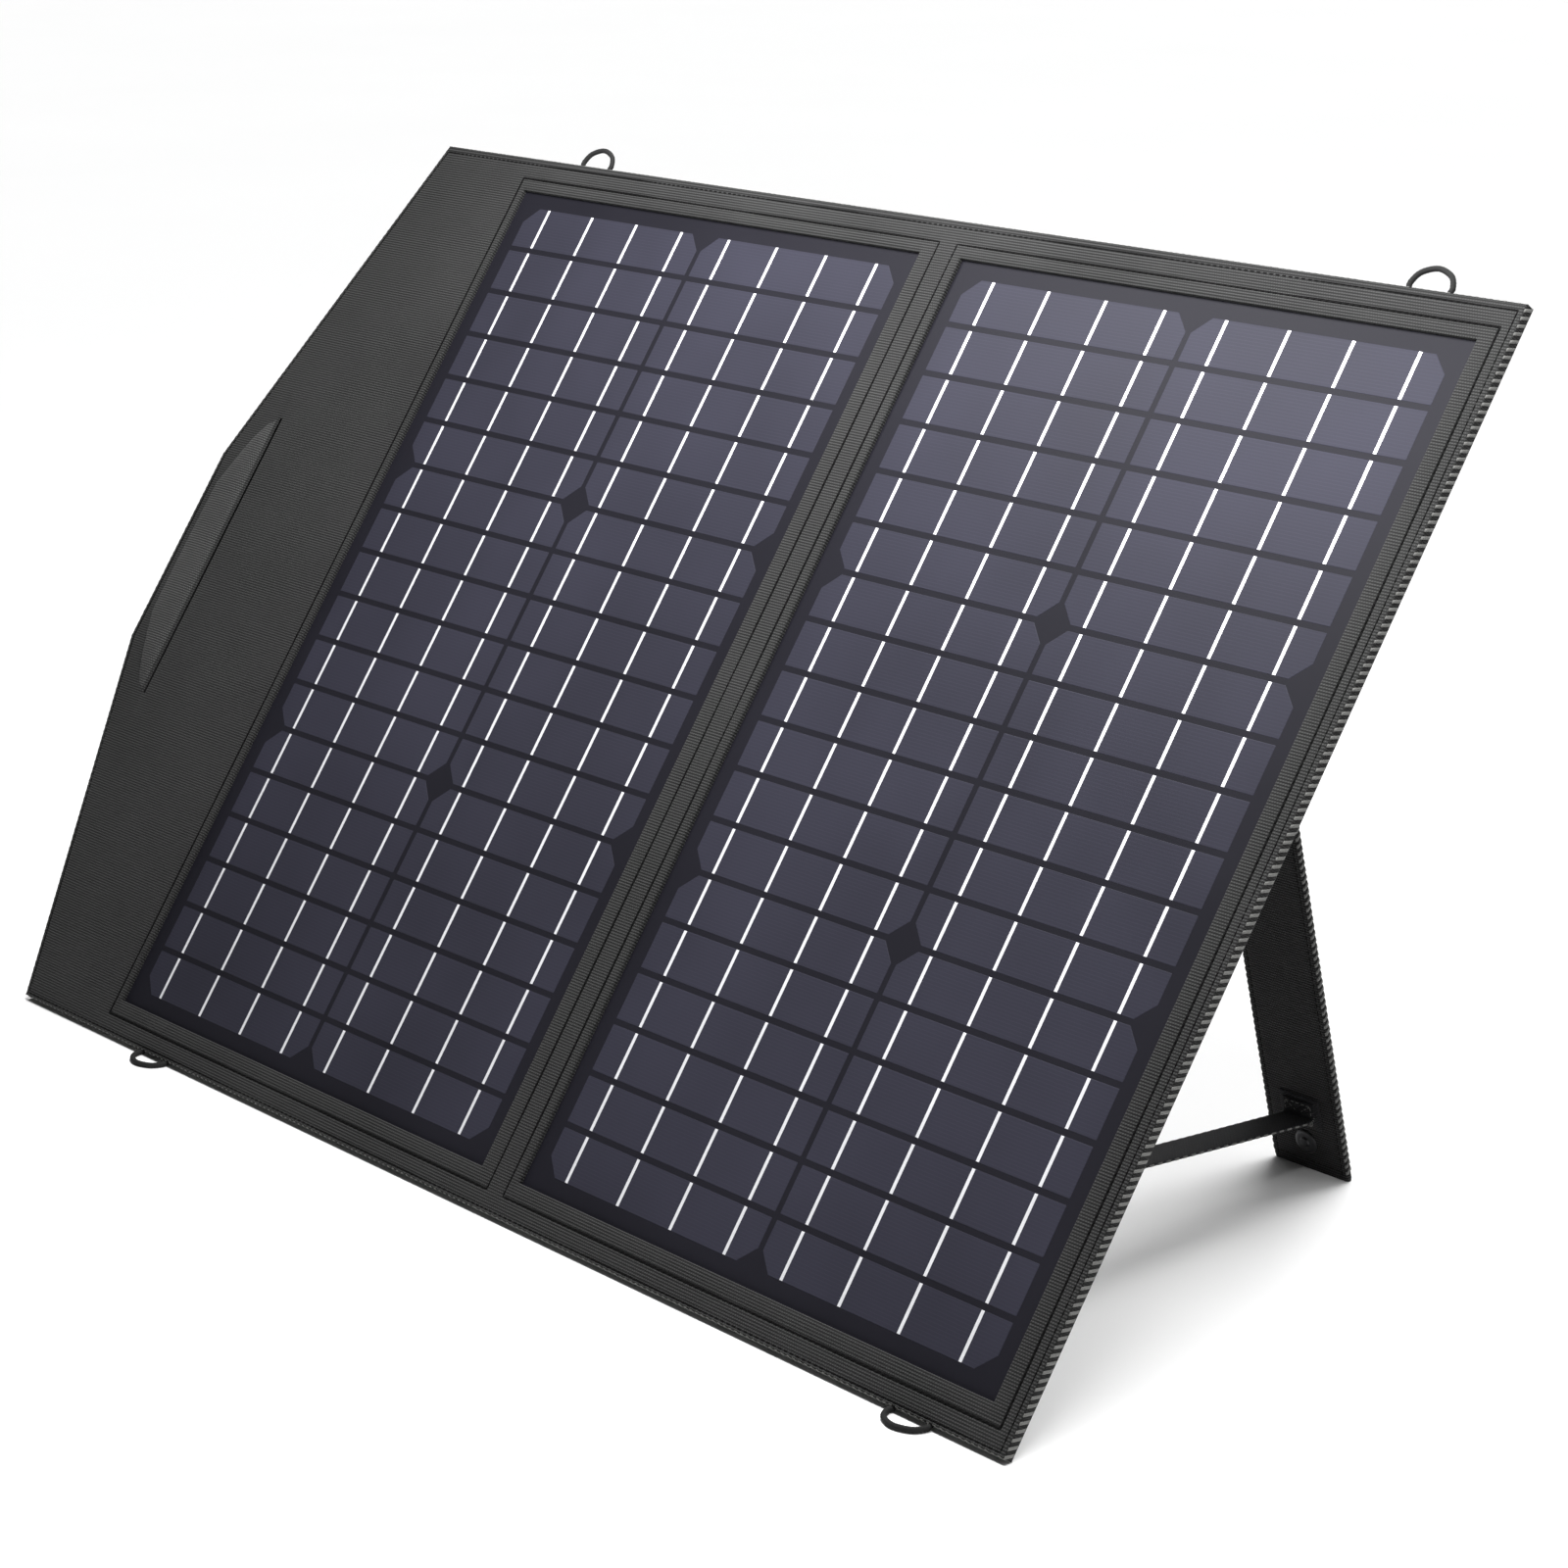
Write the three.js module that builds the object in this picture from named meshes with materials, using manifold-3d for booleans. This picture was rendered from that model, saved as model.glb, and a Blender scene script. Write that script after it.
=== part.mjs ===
// Folding two-wing solar panel for camping, opened flat and stood on its two back legs.
// Millimetres. +X is to the right seen from the front, +Y goes back, +Z is up, the floor is Z = 0.
//
// The panel is drawn in its own frame, "panel space": x across with 0 at the middle of the spine,
// y up along the panel from its bottom edge, z out of the front with 0 at the back face.
import * as THREE from "three";
import { mergeVertices } from "three/addons/utils/BufferGeometryUtils.js";
import Module from "manifold-3d";

const wasm = await Module();
wasm.setup();

const { degToRad } = THREE.MathUtils;

// ---- driving dimensions ----
const GAP = 0.3; // between pieces that touch
const TILT = degToRad(55.2); // panel from the floor
const LEG_OPEN = degToRad(49.7); // leg from the panel's back, with its strap taut

const HEIGHT = 570;
const RIGHT_EDGE_X = 370;
const FLAP_CORNER_X = 438;
const FLAP_TIP_X = 507;
const FLAP_TIP_HALF = 62.5;
const TAPE = 0.6; // edge tape round the free sides
const COVER_INSET = TAPE + GAP;

const WING_EDGE_X = 7.15;
const SPINE_HALF = WING_EDGE_X - GAP; // the cloth that bends when the panel folds shut
const SPINE_THICKNESS = 5.8;

const WINDOW = { width: 336, height: 529, innerX: 15.25, bottom: 20.5 };
const LAMINATE_LAP = 7; // laminate under the window's fabric border

const CELL = { length: 156, width: 25.2, columnGap: 3.6, rowGap: 3.3, corner: 9.5 };
const CELL_ROWS = 18;
const CELL_COLUMNS = 2;
const STRIPS_PER_WAFER = 6; // whole wafers have cut corners, so every sixth strip shows them
const RIBBON = { width: 1.8, pitch: 39.7, perColumn: 4, overrun: 3, bus: 2.5 };

// each layer's lower and upper face, from the back
const LAYERS = {
  backCover: [0, 0.7],
  board: [1.0, 1.9],
  flapBoard: [1.0, 3.4],
  lead: [1.2, 2.8],
  backsheet: [2.1, 2.4],
  cellTapes: [2.55, 2.72],
  cells: [2.7, 2.9],
  ribbons: [3.0, 3.12],
  film: [3.25, 3.45],
  frontFrame: [3.7, 6.0],
};
const THICKNESS = LAYERS.frontFrame[1];

const LEAD = { y: 10.5, width: 4.5, wingEnd: 352, flapEnd: 400 };

const HANDLE = { x: -469, slot: 5, length: 186, padGap: 1.5, padThickness: 2 };
const PAD_BULGE = [ // from the slot's top end to its bottom end: x, then y from the middle
  [-488, 75],
  [-497, 50],
  [-499.5, 0],
  [-497, -50],
  [-488, -75],
];

const LOOP = { diameter: 3, halfWidth: 12, reach: 12.5, tail: 5, clearance: 0.3 };
const LOOP_SIDES = 8;
const LOOP_STEPS = 22;
const LEFT_LOOP_X = -302;
const RIGHT_LOOP_X = 311;
const TOP_LOOP_Z = 2.6;
const BOTTOM_LOOP_Z = 3.8;
const FLOOR_CLEARANCE = 0.15;

const LEG = { x: 237, hingeY: 450, hingeZ: -2.6, width: 50, thickness: 4, wall: 0.9, sideWall: 1.5 };
const LEG_BOARD = { thickness: 1.6, width: 46, topGap: 2.5, footWall: 3 };
const LEG_TAB = { bottom: 453.5, height: 23, thickness: 1 };
const SNAP = { radius: 7, height: 2.2, base: 1.2, nub: 3, recess: 3.6, recessDepth: 1.5, fromFoot: 18 };
const SNAP_SIDES = 32;

const STRAP = { width: 20, thickness: 1.4, panelY: 72, legRadius: 345, endRoom: 0.7 };
const PANEL_PATCH = { bottom: 62, height: 16, width: 26, thickness: 1.2 };
const LEG_PATCH = { near: 334, length: 18, width: 26, thickness: 1.2 };

const POUCH = { left: -452, right: -372, bottom: 135, top: 435, depth: 22, wall: 1.2 };
const ZIP = { x: -436, bottom: 150, top: 420, slot: 6, tape: 22, tapeThickness: 0.6, chain: 4.5 };
const ZIP_CHAIN_DEPTH = 1.8;
const SLIDER = { y: 410, length: 12, halfWidth: 4.6, plate: 2.3, lip: 1.2, roomSide: 0.35 };
const BAIL = { halfX: 1, halfY: 2.6, depth: 4.1, axis: 2.2, holeY: 1.2, holeZ: 1.1 };
const PULL = { halfX: 3, length: 26, bar: 0.6, windowX: 1.6, windowY: 4.5 };

const BOX = { x: -412, y: 350, width: 64, length: 100, wall: 1.8, front: -1.5, mouth: -16.5, lid: 3 };
const POST = { x: 26, y: 44, radius: 3, hole: 1.5, holeDepth: 8 };
const SCREW = { head: 2.3, headDepth: 1.5, shank: 1.2, length: 8.5 };
const CIRCUIT = { width: 58, length: 76, front: -5.5, thickness: 1.6, railX: 20, railWidth: 1.5 };
const USB = { xs: [-14, 0.5], width: 13.2, height: 5.6, length: 15, wall: 0.4, depth: 10, tongue: 1.8 };
const DC = { x: 14.5, side: 8, length: 13, bore: 3, boreDepth: 9, pin: 1 };
const SOCKET_RECESS = 0.3;

// ---- materials ----
const MATERIALS = {
  fabric: { color: 0x2f2f30, roughness: 0.92, metalness: 0 },
  tape: { color: 0x3a3a3b, roughness: 0.85, metalness: 0 },
  webbing: { color: 0x1d1d1f, roughness: 0.9, metalness: 0 },
  foam: { color: 0x4a4a49, roughness: 0.95, metalness: 0 },
  board: { color: 0x232326, roughness: 0.6, metalness: 0 },
  backsheet: { color: 0x2a2832, roughness: 0.5, metalness: 0 },
  silicon: { color: 0x4c4a5c, roughness: 0.3, metalness: 0.1 },
  ribbon: { color: 0xe6e6ea, roughness: 0.35, metalness: 0.7 },
  film: { color: 0x6b6980, roughness: 0.25, metalness: 0 },
  lead: { color: 0x19191b, roughness: 0.7, metalness: 0 },
  cord: { color: 0x38383a, roughness: 0.9, metalness: 0 },
  snap: { color: 0x1b1b1d, roughness: 0.4, metalness: 0.8 },
  zip: { color: 0x161617, roughness: 0.6, metalness: 0 },
  zipMetal: { color: 0x3b3b3e, roughness: 0.4, metalness: 0.9 },
  housing: { color: 0x202124, roughness: 0.55, metalness: 0 },
  circuit: { color: 0x1f5a38, roughness: 0.6, metalness: 0 },
  socket: { color: 0xb8babd, roughness: 0.3, metalness: 0.9 },
  screw: { color: 0x8a8c90, roughness: 0.35, metalness: 0.9 },
};

function addMesh(parent, name, geometry, slot) {
  const mesh = new THREE.Mesh(geometry, new THREE.MeshStandardMaterial(MATERIALS[slot]));
  mesh.name = name;
  parent.add(mesh);
  return mesh;
}

// ---- solids ----
function toSolid(geometry) {
  const bare = new THREE.BufferGeometry();
  const source = geometry.index ? geometry.toNonIndexed() : geometry;
  bare.setAttribute("position", source.getAttribute("position"));
  const merged = mergeVertices(bare, 1e-4);
  return new wasm.Manifold(
    new wasm.Mesh({
      numProp: 3,
      vertProperties: merged.attributes.position.array,
      triVerts: new Uint32Array(merged.index.array),
    }),
  );
}

function toGeometry(solid) {
  const { vertProperties, triVerts, numProp } = solid.getMesh();
  const positions = new Float32Array((vertProperties.length / numProp) * 3);
  for (let i = 0; i < positions.length / 3; i++)
    for (let k = 0; k < 3; k++) positions[3 * i + k] = vertProperties[numProp * i + k];
  const geometry = new THREE.BufferGeometry();
  geometry.setAttribute("position", new THREE.BufferAttribute(positions, 3));
  geometry.setIndex(new THREE.BufferAttribute(new Uint32Array(triVerts), 1));
  const flat = geometry.toNonIndexed();
  flat.computeVertexNormals();
  return flat;
}

const cut = (body, ...tools) =>
  toGeometry(tools.reduce((solid, tool) => solid.subtract(toSolid(tool)), toSolid(body)));

const join = (...bodies) =>
  toGeometry(bodies.slice(1).reduce((solid, b) => solid.add(toSolid(b)), toSolid(bodies[0])));

function box(x0, x1, y0, y1, z0, z1) {
  const geometry = new THREE.BoxGeometry(x1 - x0, y1 - y0, z1 - z0);
  return geometry.translate((x0 + x1) / 2, (y0 + y1) / 2, (z0 + z1) / 2);
}

function prism(outline, [z0, z1], holes = []) {
  const shape = new THREE.Shape(outline);
  shape.holes = holes.map((hole) => new THREE.Path(hole));
  const geometry = new THREE.ExtrudeGeometry(shape, { depth: z1 - z0, bevelEnabled: false });
  return geometry.translate(0, 0, z0);
}

// a (y, z) profile pushed along x
function prismAlongX(profile, halfWidth) {
  const shape = new THREE.Shape(profile);
  const geometry = new THREE.ExtrudeGeometry(shape, { depth: 2 * halfWidth, bevelEnabled: false });
  const turn = new THREE.Matrix4().makeBasis(
    new THREE.Vector3(0, 1, 0),
    new THREE.Vector3(0, 0, 1),
    new THREE.Vector3(1, 0, 0),
  );
  return geometry.translate(0, 0, -halfWidth).applyMatrix4(turn);
}

// a (radius, height) profile, closed on the axis, turned round z
function turned(profile, sides) {
  const points = profile.map(([r, h]) => new THREE.Vector2(r, h));
  return new THREE.LatheGeometry(points, sides).rotateX(Math.PI / 2);
}

const cylinder = (radius, z0, z1, sides = 24) =>
  turned([[0, z0], [radius, z0], [radius, z1], [0, z1]], sides);

const points2 = (pairs) => pairs.map(([x, y]) => new THREE.Vector2(x, y));

const rectangle = (x0, x1, y0, y1) => points2([[x0, y0], [x1, y0], [x1, y1], [x0, y1]]);

// moves each edge of a counter-clockwise outline inwards by its own distance
function inset(outline, distances) {
  const lines = outline.map((start, i) => {
    const along = outline[(i + 1) % outline.length].clone().sub(start).normalize();
    const inward = new THREE.Vector2(-along.y, along.x);
    return { origin: start.clone().addScaledVector(inward, distances[i]), along };
  });
  return lines.map((line, i) => {
    const before = lines.at(i - 1);
    const apart = line.origin.clone().sub(before.origin);
    const t = apart.cross(line.along) / before.along.cross(line.along);
    return before.origin.clone().addScaledVector(before.along, t);
  });
}

// the first edge of a wing's outline is the one at the spine
const insetFreeEdges = (outline, distance, atSpine = 0) =>
  inset(outline, outline.map((_, i) => (i === 0 ? atSpine : distance)));

// ---- outlines ----
function leftOutline() {
  const middle = HEIGHT / 2;
  return points2([
    [-WING_EDGE_X, 0],
    [-WING_EDGE_X, HEIGHT],
    [-FLAP_CORNER_X, HEIGHT],
    [-FLAP_TIP_X, middle + FLAP_TIP_HALF],
    [-FLAP_TIP_X, middle - FLAP_TIP_HALF],
    [-FLAP_CORNER_X, 0],
  ]);
}

function rightOutline() {
  return points2([
    [WING_EDGE_X, HEIGHT],
    [WING_EDGE_X, 0],
    [RIGHT_EDGE_X, 0],
    [RIGHT_EDGE_X, HEIGHT],
  ]);
}

function windowRectangle(side, grow = 0) {
  const inner = side * (WINDOW.innerX - grow);
  const outer = side * (WINDOW.innerX + WINDOW.width + grow);
  const bottom = WINDOW.bottom - grow;
  return rectangle(
    Math.min(inner, outer),
    Math.max(inner, outer),
    bottom,
    bottom + WINDOW.height + 2 * grow,
  );
}

function handleSlot() {
  const radius = HANDLE.slot / 2;
  const reach = HANDLE.length / 2 - radius;
  const slot = new THREE.Path();
  slot.absarc(HANDLE.x, HEIGHT / 2 + reach, radius, 0, Math.PI);
  slot.absarc(HANDLE.x, HEIGHT / 2 - reach, radius, Math.PI, 2 * Math.PI);
  return slot.getPoints(6);
}

// ---- cells ----
const windowMiddleX = (side) => side * (WINDOW.innerX + WINDOW.width / 2);
const rowPitch = CELL.width + CELL.rowGap;
const stringHeight = CELL_ROWS * rowPitch - CELL.rowGap;
const stringBottom = WINDOW.bottom + (WINDOW.height - stringHeight) / 2;
const columnMiddle = (side, column) =>
  windowMiddleX(side) + (column - (CELL_COLUMNS - 1) / 2) * (CELL.length + CELL.columnGap);
const ribbonX = (side, column, k) =>
  columnMiddle(side, column) + (k - (RIBBON.perColumn - 1) / 2) * RIBBON.pitch;

// rows count down from the top, and a wafer's first and last strips have cut corners
function stripOutline(x, y, row) {
  const [halfX, halfY] = [CELL.length / 2, CELL.width / 2];
  const top = row % STRIPS_PER_WAFER === 0 ? CELL.corner : 0;
  const bottom = row % STRIPS_PER_WAFER === STRIPS_PER_WAFER - 1 ? CELL.corner : 0;
  const corners = [
    [-halfX, -halfY, bottom, 0, 1],
    [halfX, -halfY, bottom, -1, 0],
    [halfX, halfY, top, 0, -1],
    [-halfX, halfY, top, 1, 0],
  ];
  const outline = [];
  for (const [cx, cy, size, dx, dy] of corners) {
    if (size === 0) outline.push([x + cx, y + cy]);
    else {
      outline.push([x + cx + dx * size, y + cy + dy * size]);
      const [ex, ey] = [dx === 0 ? -Math.sign(cx) : 0, dy === 0 ? -Math.sign(cy) : 0];
      outline.push([x + cx + ex * size, y + cy + ey * size]);
    }
  }
  return points2(outline);
}

const LONG_TAPE = [stringBottom - RIBBON.overrun, stringBottom + stringHeight + RIBBON.overrun];

// a ladder of long tapes over both columns, joined by a bus across one end
function tapeComb(side, layer, busAtTop, perColumn) {
  const [bottom, top] = LONG_TAPE;
  const middle = windowMiddleX(side);
  const reach = CELL.length + CELL.columnGap / 2 - 1;
  const half = RIBBON.width / 2;
  const bus = busAtTop ? [top - RIBBON.bus, top] : [bottom, bottom + RIBBON.bus];
  const bars = [box(middle - reach, middle + reach, ...bus, ...layer)];
  for (let column = 0; column < CELL_COLUMNS; column++)
    for (let k = 0; k < perColumn; k++) {
      const x = ribbonX(side, column, k);
      bars.push(box(x - half, x + half, bottom, top, ...layer));
    }
  return bars;
}

function cellString(side) {
  const strips = [];
  for (let column = 0; column < CELL_COLUMNS; column++)
    for (let row = 0; row < CELL_ROWS; row++) {
      const y = stringBottom + stringHeight - CELL.width / 2 - row * rowPitch;
      strips.push(prism(stripOutline(columnMiddle(side, column), y, row), LAYERS.cells));
    }
  return join(...tapeComb(side, LAYERS.cellTapes, true, 1), ...strips);
}

// ---- hem loops ----
const toPanelSpace = (y, z) => [
  y * Math.cos(TILT) + z * Math.sin(TILT),
  z * Math.cos(TILT) - y * Math.sin(TILT),
];
const toFloorSpace = (y, z) => [
  y * Math.cos(TILT) - z * Math.sin(TILT),
  y * Math.sin(TILT) + z * Math.cos(TILT),
];

// a top loop stands straight out of the hem
const topLoopPoint = (x, out) => new THREE.Vector3(x, HEIGHT + out, TOP_LOOP_Z);

// a bottom loop turns forwards as it leaves the hem and lies on the floor
function bottomLoopPoint(x, out) {
  if (out <= 0) return new THREE.Vector3(x, -out, BOTTOM_LOOP_Z);
  const [exitY, exitZ] = toFloorSpace(0, BOTTOM_LOOP_Z);
  const lowest = LOOP.diameter / 2 + FLOOR_CLEARANCE;
  const drop = (exitZ - lowest) * Math.exp(-out / 2);
  return new THREE.Vector3(x, ...toPanelSpace(exitY - out, lowest + drop));
}

function cordLoop(x, pointAt) {
  const { halfWidth, reach, tail, diameter } = LOOP;
  const half = [
    [1, -tail],
    [1, 0],
    [1.03, 0.32 * reach],
    [0.74, 0.76 * reach],
  ];
  const route = [...half, [0, reach], ...half.map(([f, out]) => [-f, out]).reverse()];
  const path = new THREE.CatmullRomCurve3(
    route.map(([f, out]) => pointAt(x + f * halfWidth, out)),
    false,
    "centripetal",
  );
  const section = new THREE.Shape();
  for (let i = 0; i < LOOP_SIDES; i++) {
    const turn = (2 * Math.PI * i) / LOOP_SIDES;
    const [u, v] = [(Math.cos(turn) * diameter) / 2, (Math.sin(turn) * diameter) / 2];
    if (i === 0) section.moveTo(u, v);
    else section.lineTo(u, v);
  }
  section.closePath();
  return new THREE.ExtrudeGeometry(section, {
    steps: LOOP_STEPS,
    extrudePath: path,
    bevelEnabled: false,
  });
}

// room for a loop's two tails in the hem
function loopGrooves(x) {
  const half = LOOP.diameter / 2 + LOOP.clearance;
  const deep = LOOP.tail + 2;
  return [-1, 1].flatMap((end) => {
    const middle = x + end * LOOP.halfWidth;
    const across = [middle - half, middle + half];
    return [
      box(...across, HEIGHT - deep, HEIGHT + 1, TOP_LOOP_Z - half, TOP_LOOP_Z + half),
      box(...across, -1, deep, BOTTOM_LOOP_Z - half, BOTTOM_LOOP_Z + half),
    ];
  });
}

// ---- wings ----
function edgeTape(outline, loopX) {
  const body = prism(outline, [0, THICKNESS]);
  const inside = prism(insetFreeEdges(outline, TAPE, -5), [-1, THICKNESS + 1]);
  return cut(body, inside, ...loopGrooves(loopX));
}

function frontFrame(outline, side, loopX, holes) {
  const window = windowRectangle(side);
  const cover = insetFreeEdges(outline, COVER_INSET);
  return cut(prism(cover, LAYERS.frontFrame, [window, ...holes]), ...loopGrooves(loopX));
}

function leadTape(side, end) {
  const [x0, x1] = [side * (WING_EDGE_X + 1), side * end].sort((a, b) => a - b);
  const half = LEAD.width / 2;
  return box(x0, x1, LEAD.y - half, LEAD.y + half, ...LAYERS.lead);
}

function addWing(panel, prefix, side, outline, loopX, leadEnd, holes) {
  const wing = new THREE.Group();
  wing.name = `${prefix}_wing`;
  panel.add(wing);
  const laminate = windowRectangle(side, LAMINATE_LAP);
  const cover = insetFreeEdges(outline, COVER_INSET);
  const ribbons = join(...tapeComb(side, LAYERS.ribbons, false, RIBBON.perColumn));
  addMesh(wing, `${prefix}_back_cover`, prism(cover, LAYERS.backCover, holes), "fabric");
  addMesh(wing, `${prefix}_board`, prism(laminate, LAYERS.board), "board");
  addMesh(wing, `${prefix}_backsheet`, prism(laminate, LAYERS.backsheet), "backsheet");
  addMesh(wing, `${prefix}_cells`, cellString(side), "silicon");
  addMesh(wing, `${prefix}_ribbons`, ribbons, "ribbon");
  addMesh(wing, `${prefix}_film`, prism(laminate, LAYERS.film), "film");
  addMesh(wing, `${prefix}_front_frame`, frontFrame(outline, side, loopX, holes), "fabric");
  addMesh(wing, `${prefix}_edge_tape`, edgeTape(outline, loopX), "tape");
  addMesh(wing, `${prefix}_lead`, leadTape(side, leadEnd), "lead");
  addMesh(wing, `${prefix}_loop_top`, cordLoop(loopX, topLoopPoint), "cord");
  addMesh(wing, `${prefix}_loop_bottom`, cordLoop(loopX, bottomLoopPoint), "cord");
  addBackFittings(wing, prefix, side * LEG.x);
  return wing;
}

// what a leg needs on the panel's back: its hinge tab, the strap's patch and the snap's socket
function addBackFittings(wing, prefix, x) {
  const layer = (thickness) => [-GAP - thickness, -GAP];
  const tabHalf = LEG.width / 2;
  const tab = box(
    x - tabHalf,
    x + tabHalf,
    LEG_TAB.bottom,
    LEG_TAB.bottom + LEG_TAB.height,
    ...layer(LEG_TAB.thickness),
  );
  addMesh(wing, `${prefix}_leg_tab`, tab, "webbing");
  const patchHalf = PANEL_PATCH.width / 2;
  const patch = box(
    x - patchHalf,
    x + patchHalf,
    PANEL_PATCH.bottom,
    PANEL_PATCH.bottom + PANEL_PATCH.height,
    ...layer(PANEL_PATCH.thickness),
  );
  addMesh(wing, `${prefix}_strap_patch`, patch, "webbing");
  const ring = [
    [0, 0],
    [SNAP.radius, 0],
    [SNAP.radius - 0.5, SNAP.height],
    [SNAP.recess, SNAP.height],
    [SNAP.recess, SNAP.height - SNAP.recessDepth],
    [0, SNAP.height - SNAP.recessDepth],
  ];
  const socket = turned(ring, SNAP_SIDES).rotateX(Math.PI);
  socket.translate(x, LEG.hingeY - snapRadius(), -GAP);
  addMesh(wing, `${prefix}_snap_socket`, socket, "snap");
}

// ---- legs ----
// leg space: the hinge axis is x, the leg runs down -y and its front face looks along +z
const legTurn = TILT + LEG_OPEN;
const hingeHeight = toFloorSpace(LEG.hingeY, LEG.hingeZ)[1];
// the foot is cut level with the floor
const footY = (z) => -(hingeHeight + z * Math.cos(legTurn)) / Math.sin(legTurn);
const legLength = -footY(0);
const snapRadius = () => legLength - SNAP.fromFoot;

function legCover() {
  const half = LEG.thickness / 2;
  const profile = new THREE.Path();
  profile.moveTo(footY(half), half);
  profile.lineTo(footY(-half), -half);
  profile.absarc(0, 0, half, -Math.PI / 2, Math.PI / 2);
  const room = half - LEG.wall;
  const inner = LEG.width / 2 - LEG.sideWall;
  const hollow = box(-inner, inner, -legLength + LEG_BOARD.footWall, 2 * half, -room, room);
  return cut(prismAlongX(profile.getPoints(8), LEG.width / 2), hollow);
}

function legBoard() {
  const half = LEG_BOARD.thickness / 2;
  const across = LEG_BOARD.width / 2;
  const foot = -legLength + LEG_BOARD.footWall + 1;
  return box(-across, across, foot, -LEG_BOARD.topGap, -half, half);
}

function snapStud() {
  const stud = [
    [0, 0],
    [SNAP.radius, 0],
    [SNAP.radius - 0.4, SNAP.base],
    [SNAP.nub, SNAP.base],
    [SNAP.nub - 0.2, SNAP.height],
    [0, SNAP.height],
  ];
  return turned(stud, SNAP_SIDES).translate(0, -snapRadius(), LEG.thickness / 2 + GAP);
}

function legPatch() {
  const z = LEG.thickness / 2 + GAP;
  const half = LEG_PATCH.width / 2;
  const near = -LEG_PATCH.near;
  return box(-half, half, near - LEG_PATCH.length, near, z, z + LEG_PATCH.thickness);
}

// the strap's ends, each just clear of the patch that it is sewn to, in panel space
function strapEnds() {
  const start = new THREE.Vector3(
    0,
    STRAP.panelY,
    -GAP - PANEL_PATCH.thickness - STRAP.endRoom,
  );
  const onLeg = LEG.thickness / 2 + GAP + LEG_PATCH.thickness + STRAP.endRoom;
  const end = new THREE.Vector3(0, -STRAP.legRadius, onLeg)
    .applyAxisAngle(new THREE.Vector3(1, 0, 0), LEG_OPEN)
    .add(new THREE.Vector3(0, LEG.hingeY, LEG.hingeZ));
  return [start, end];
}

function addStrap(leg, prefix) {
  const [start, end] = strapEnds();
  const run = end.clone().sub(start);
  const geometry = new THREE.BoxGeometry(STRAP.width, run.length(), STRAP.thickness);
  geometry.rotateX(Math.atan2(run.z, run.y));
  geometry.translate(0, (start.y + end.y) / 2, (start.z + end.z) / 2);
  addMesh(leg, `${prefix}_strap`, geometry, "webbing");
}

function addLeg(panel, prefix, x) {
  const leg = new THREE.Group();
  leg.name = `${prefix}_leg`;
  leg.position.set(x, LEG.hingeY, LEG.hingeZ);
  leg.rotation.x = LEG_OPEN;
  panel.add(leg);
  addMesh(leg, `${prefix}_leg_cover`, legCover(), "fabric");
  addMesh(leg, `${prefix}_leg_board`, legBoard(), "board");
  addMesh(leg, `${prefix}_snap_stud`, snapStud(), "snap");
  addMesh(leg, `${prefix}_leg_patch`, legPatch(), "webbing");
  const strapSpace = new THREE.Group();
  strapSpace.position.x = x;
  panel.add(strapSpace);
  addStrap(strapSpace, prefix);
}

// ---- flap ----
function flapBoard(slot) {
  const outline = leftOutline();
  const inner = -(WINDOW.innerX + WINDOW.width + LAMINATE_LAP + 2.5);
  const whole = insetFreeEdges(outline, COVER_INSET + 1);
  const body = prism(whole, LAYERS.flapBoard, [slot]);
  const wingSide = box(inner, 0, -1, HEIGHT + 1, -1, THICKNESS);
  const half = LEAD.width / 2 + GAP;
  const leadChannel = box(-LEAD.flapEnd - GAP, 0, LEAD.y - half, LEAD.y + half, 0, LAYERS.lead[1] + GAP);
  return cut(body, wingSide, leadChannel);
}

function gripPad() {
  const straight = HANDLE.x - HANDLE.slot / 2 - HANDLE.padGap;
  const middle = HEIGHT / 2;
  const end = HANDLE.length / 2;
  const bulge = new THREE.SplineCurve(
    points2([
      [straight, middle + end],
      ...PAD_BULGE.map(([x, y]) => [x, middle + y]),
      [straight, middle - end],
    ]),
  );
  const z = THICKNESS + GAP;
  return prism(bulge.getPoints(24), [z, z + HANDLE.padThickness]);
}

// ---- pouch and zip ----
function pouch() {
  const { left, right, bottom, top, depth, wall } = POUCH;
  const back = -GAP - depth;
  const body = box(left, right, bottom, top, back, -GAP);
  const room = box(left + wall, right - wall, bottom + wall, top - wall, back + wall, 1);
  const half = ZIP.slot / 2;
  const mouth = box(ZIP.x - half, ZIP.x + half, ZIP.bottom, ZIP.top, back - 1, back + wall + 1);
  return cut(body, room, mouth);
}

const zipFace = -GAP - POUCH.depth - GAP;
const chainFace = zipFace - ZIP_CHAIN_DEPTH;

function zipChain() {
  const half = ZIP.tape / 2;
  const chain = ZIP.chain / 2;
  const tape = box(
    ZIP.x - half,
    ZIP.x + half,
    ZIP.bottom - 4,
    ZIP.top + 4,
    zipFace - ZIP.tapeThickness,
    zipFace,
  );
  return join(tape, box(ZIP.x - chain, ZIP.x + chain, ZIP.bottom, ZIP.top, chainFace, zipFace));
}

const sliderFace = chainFace - GAP - SLIDER.plate;
const pullAxisZ = sliderFace - BAIL.axis;

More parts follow.
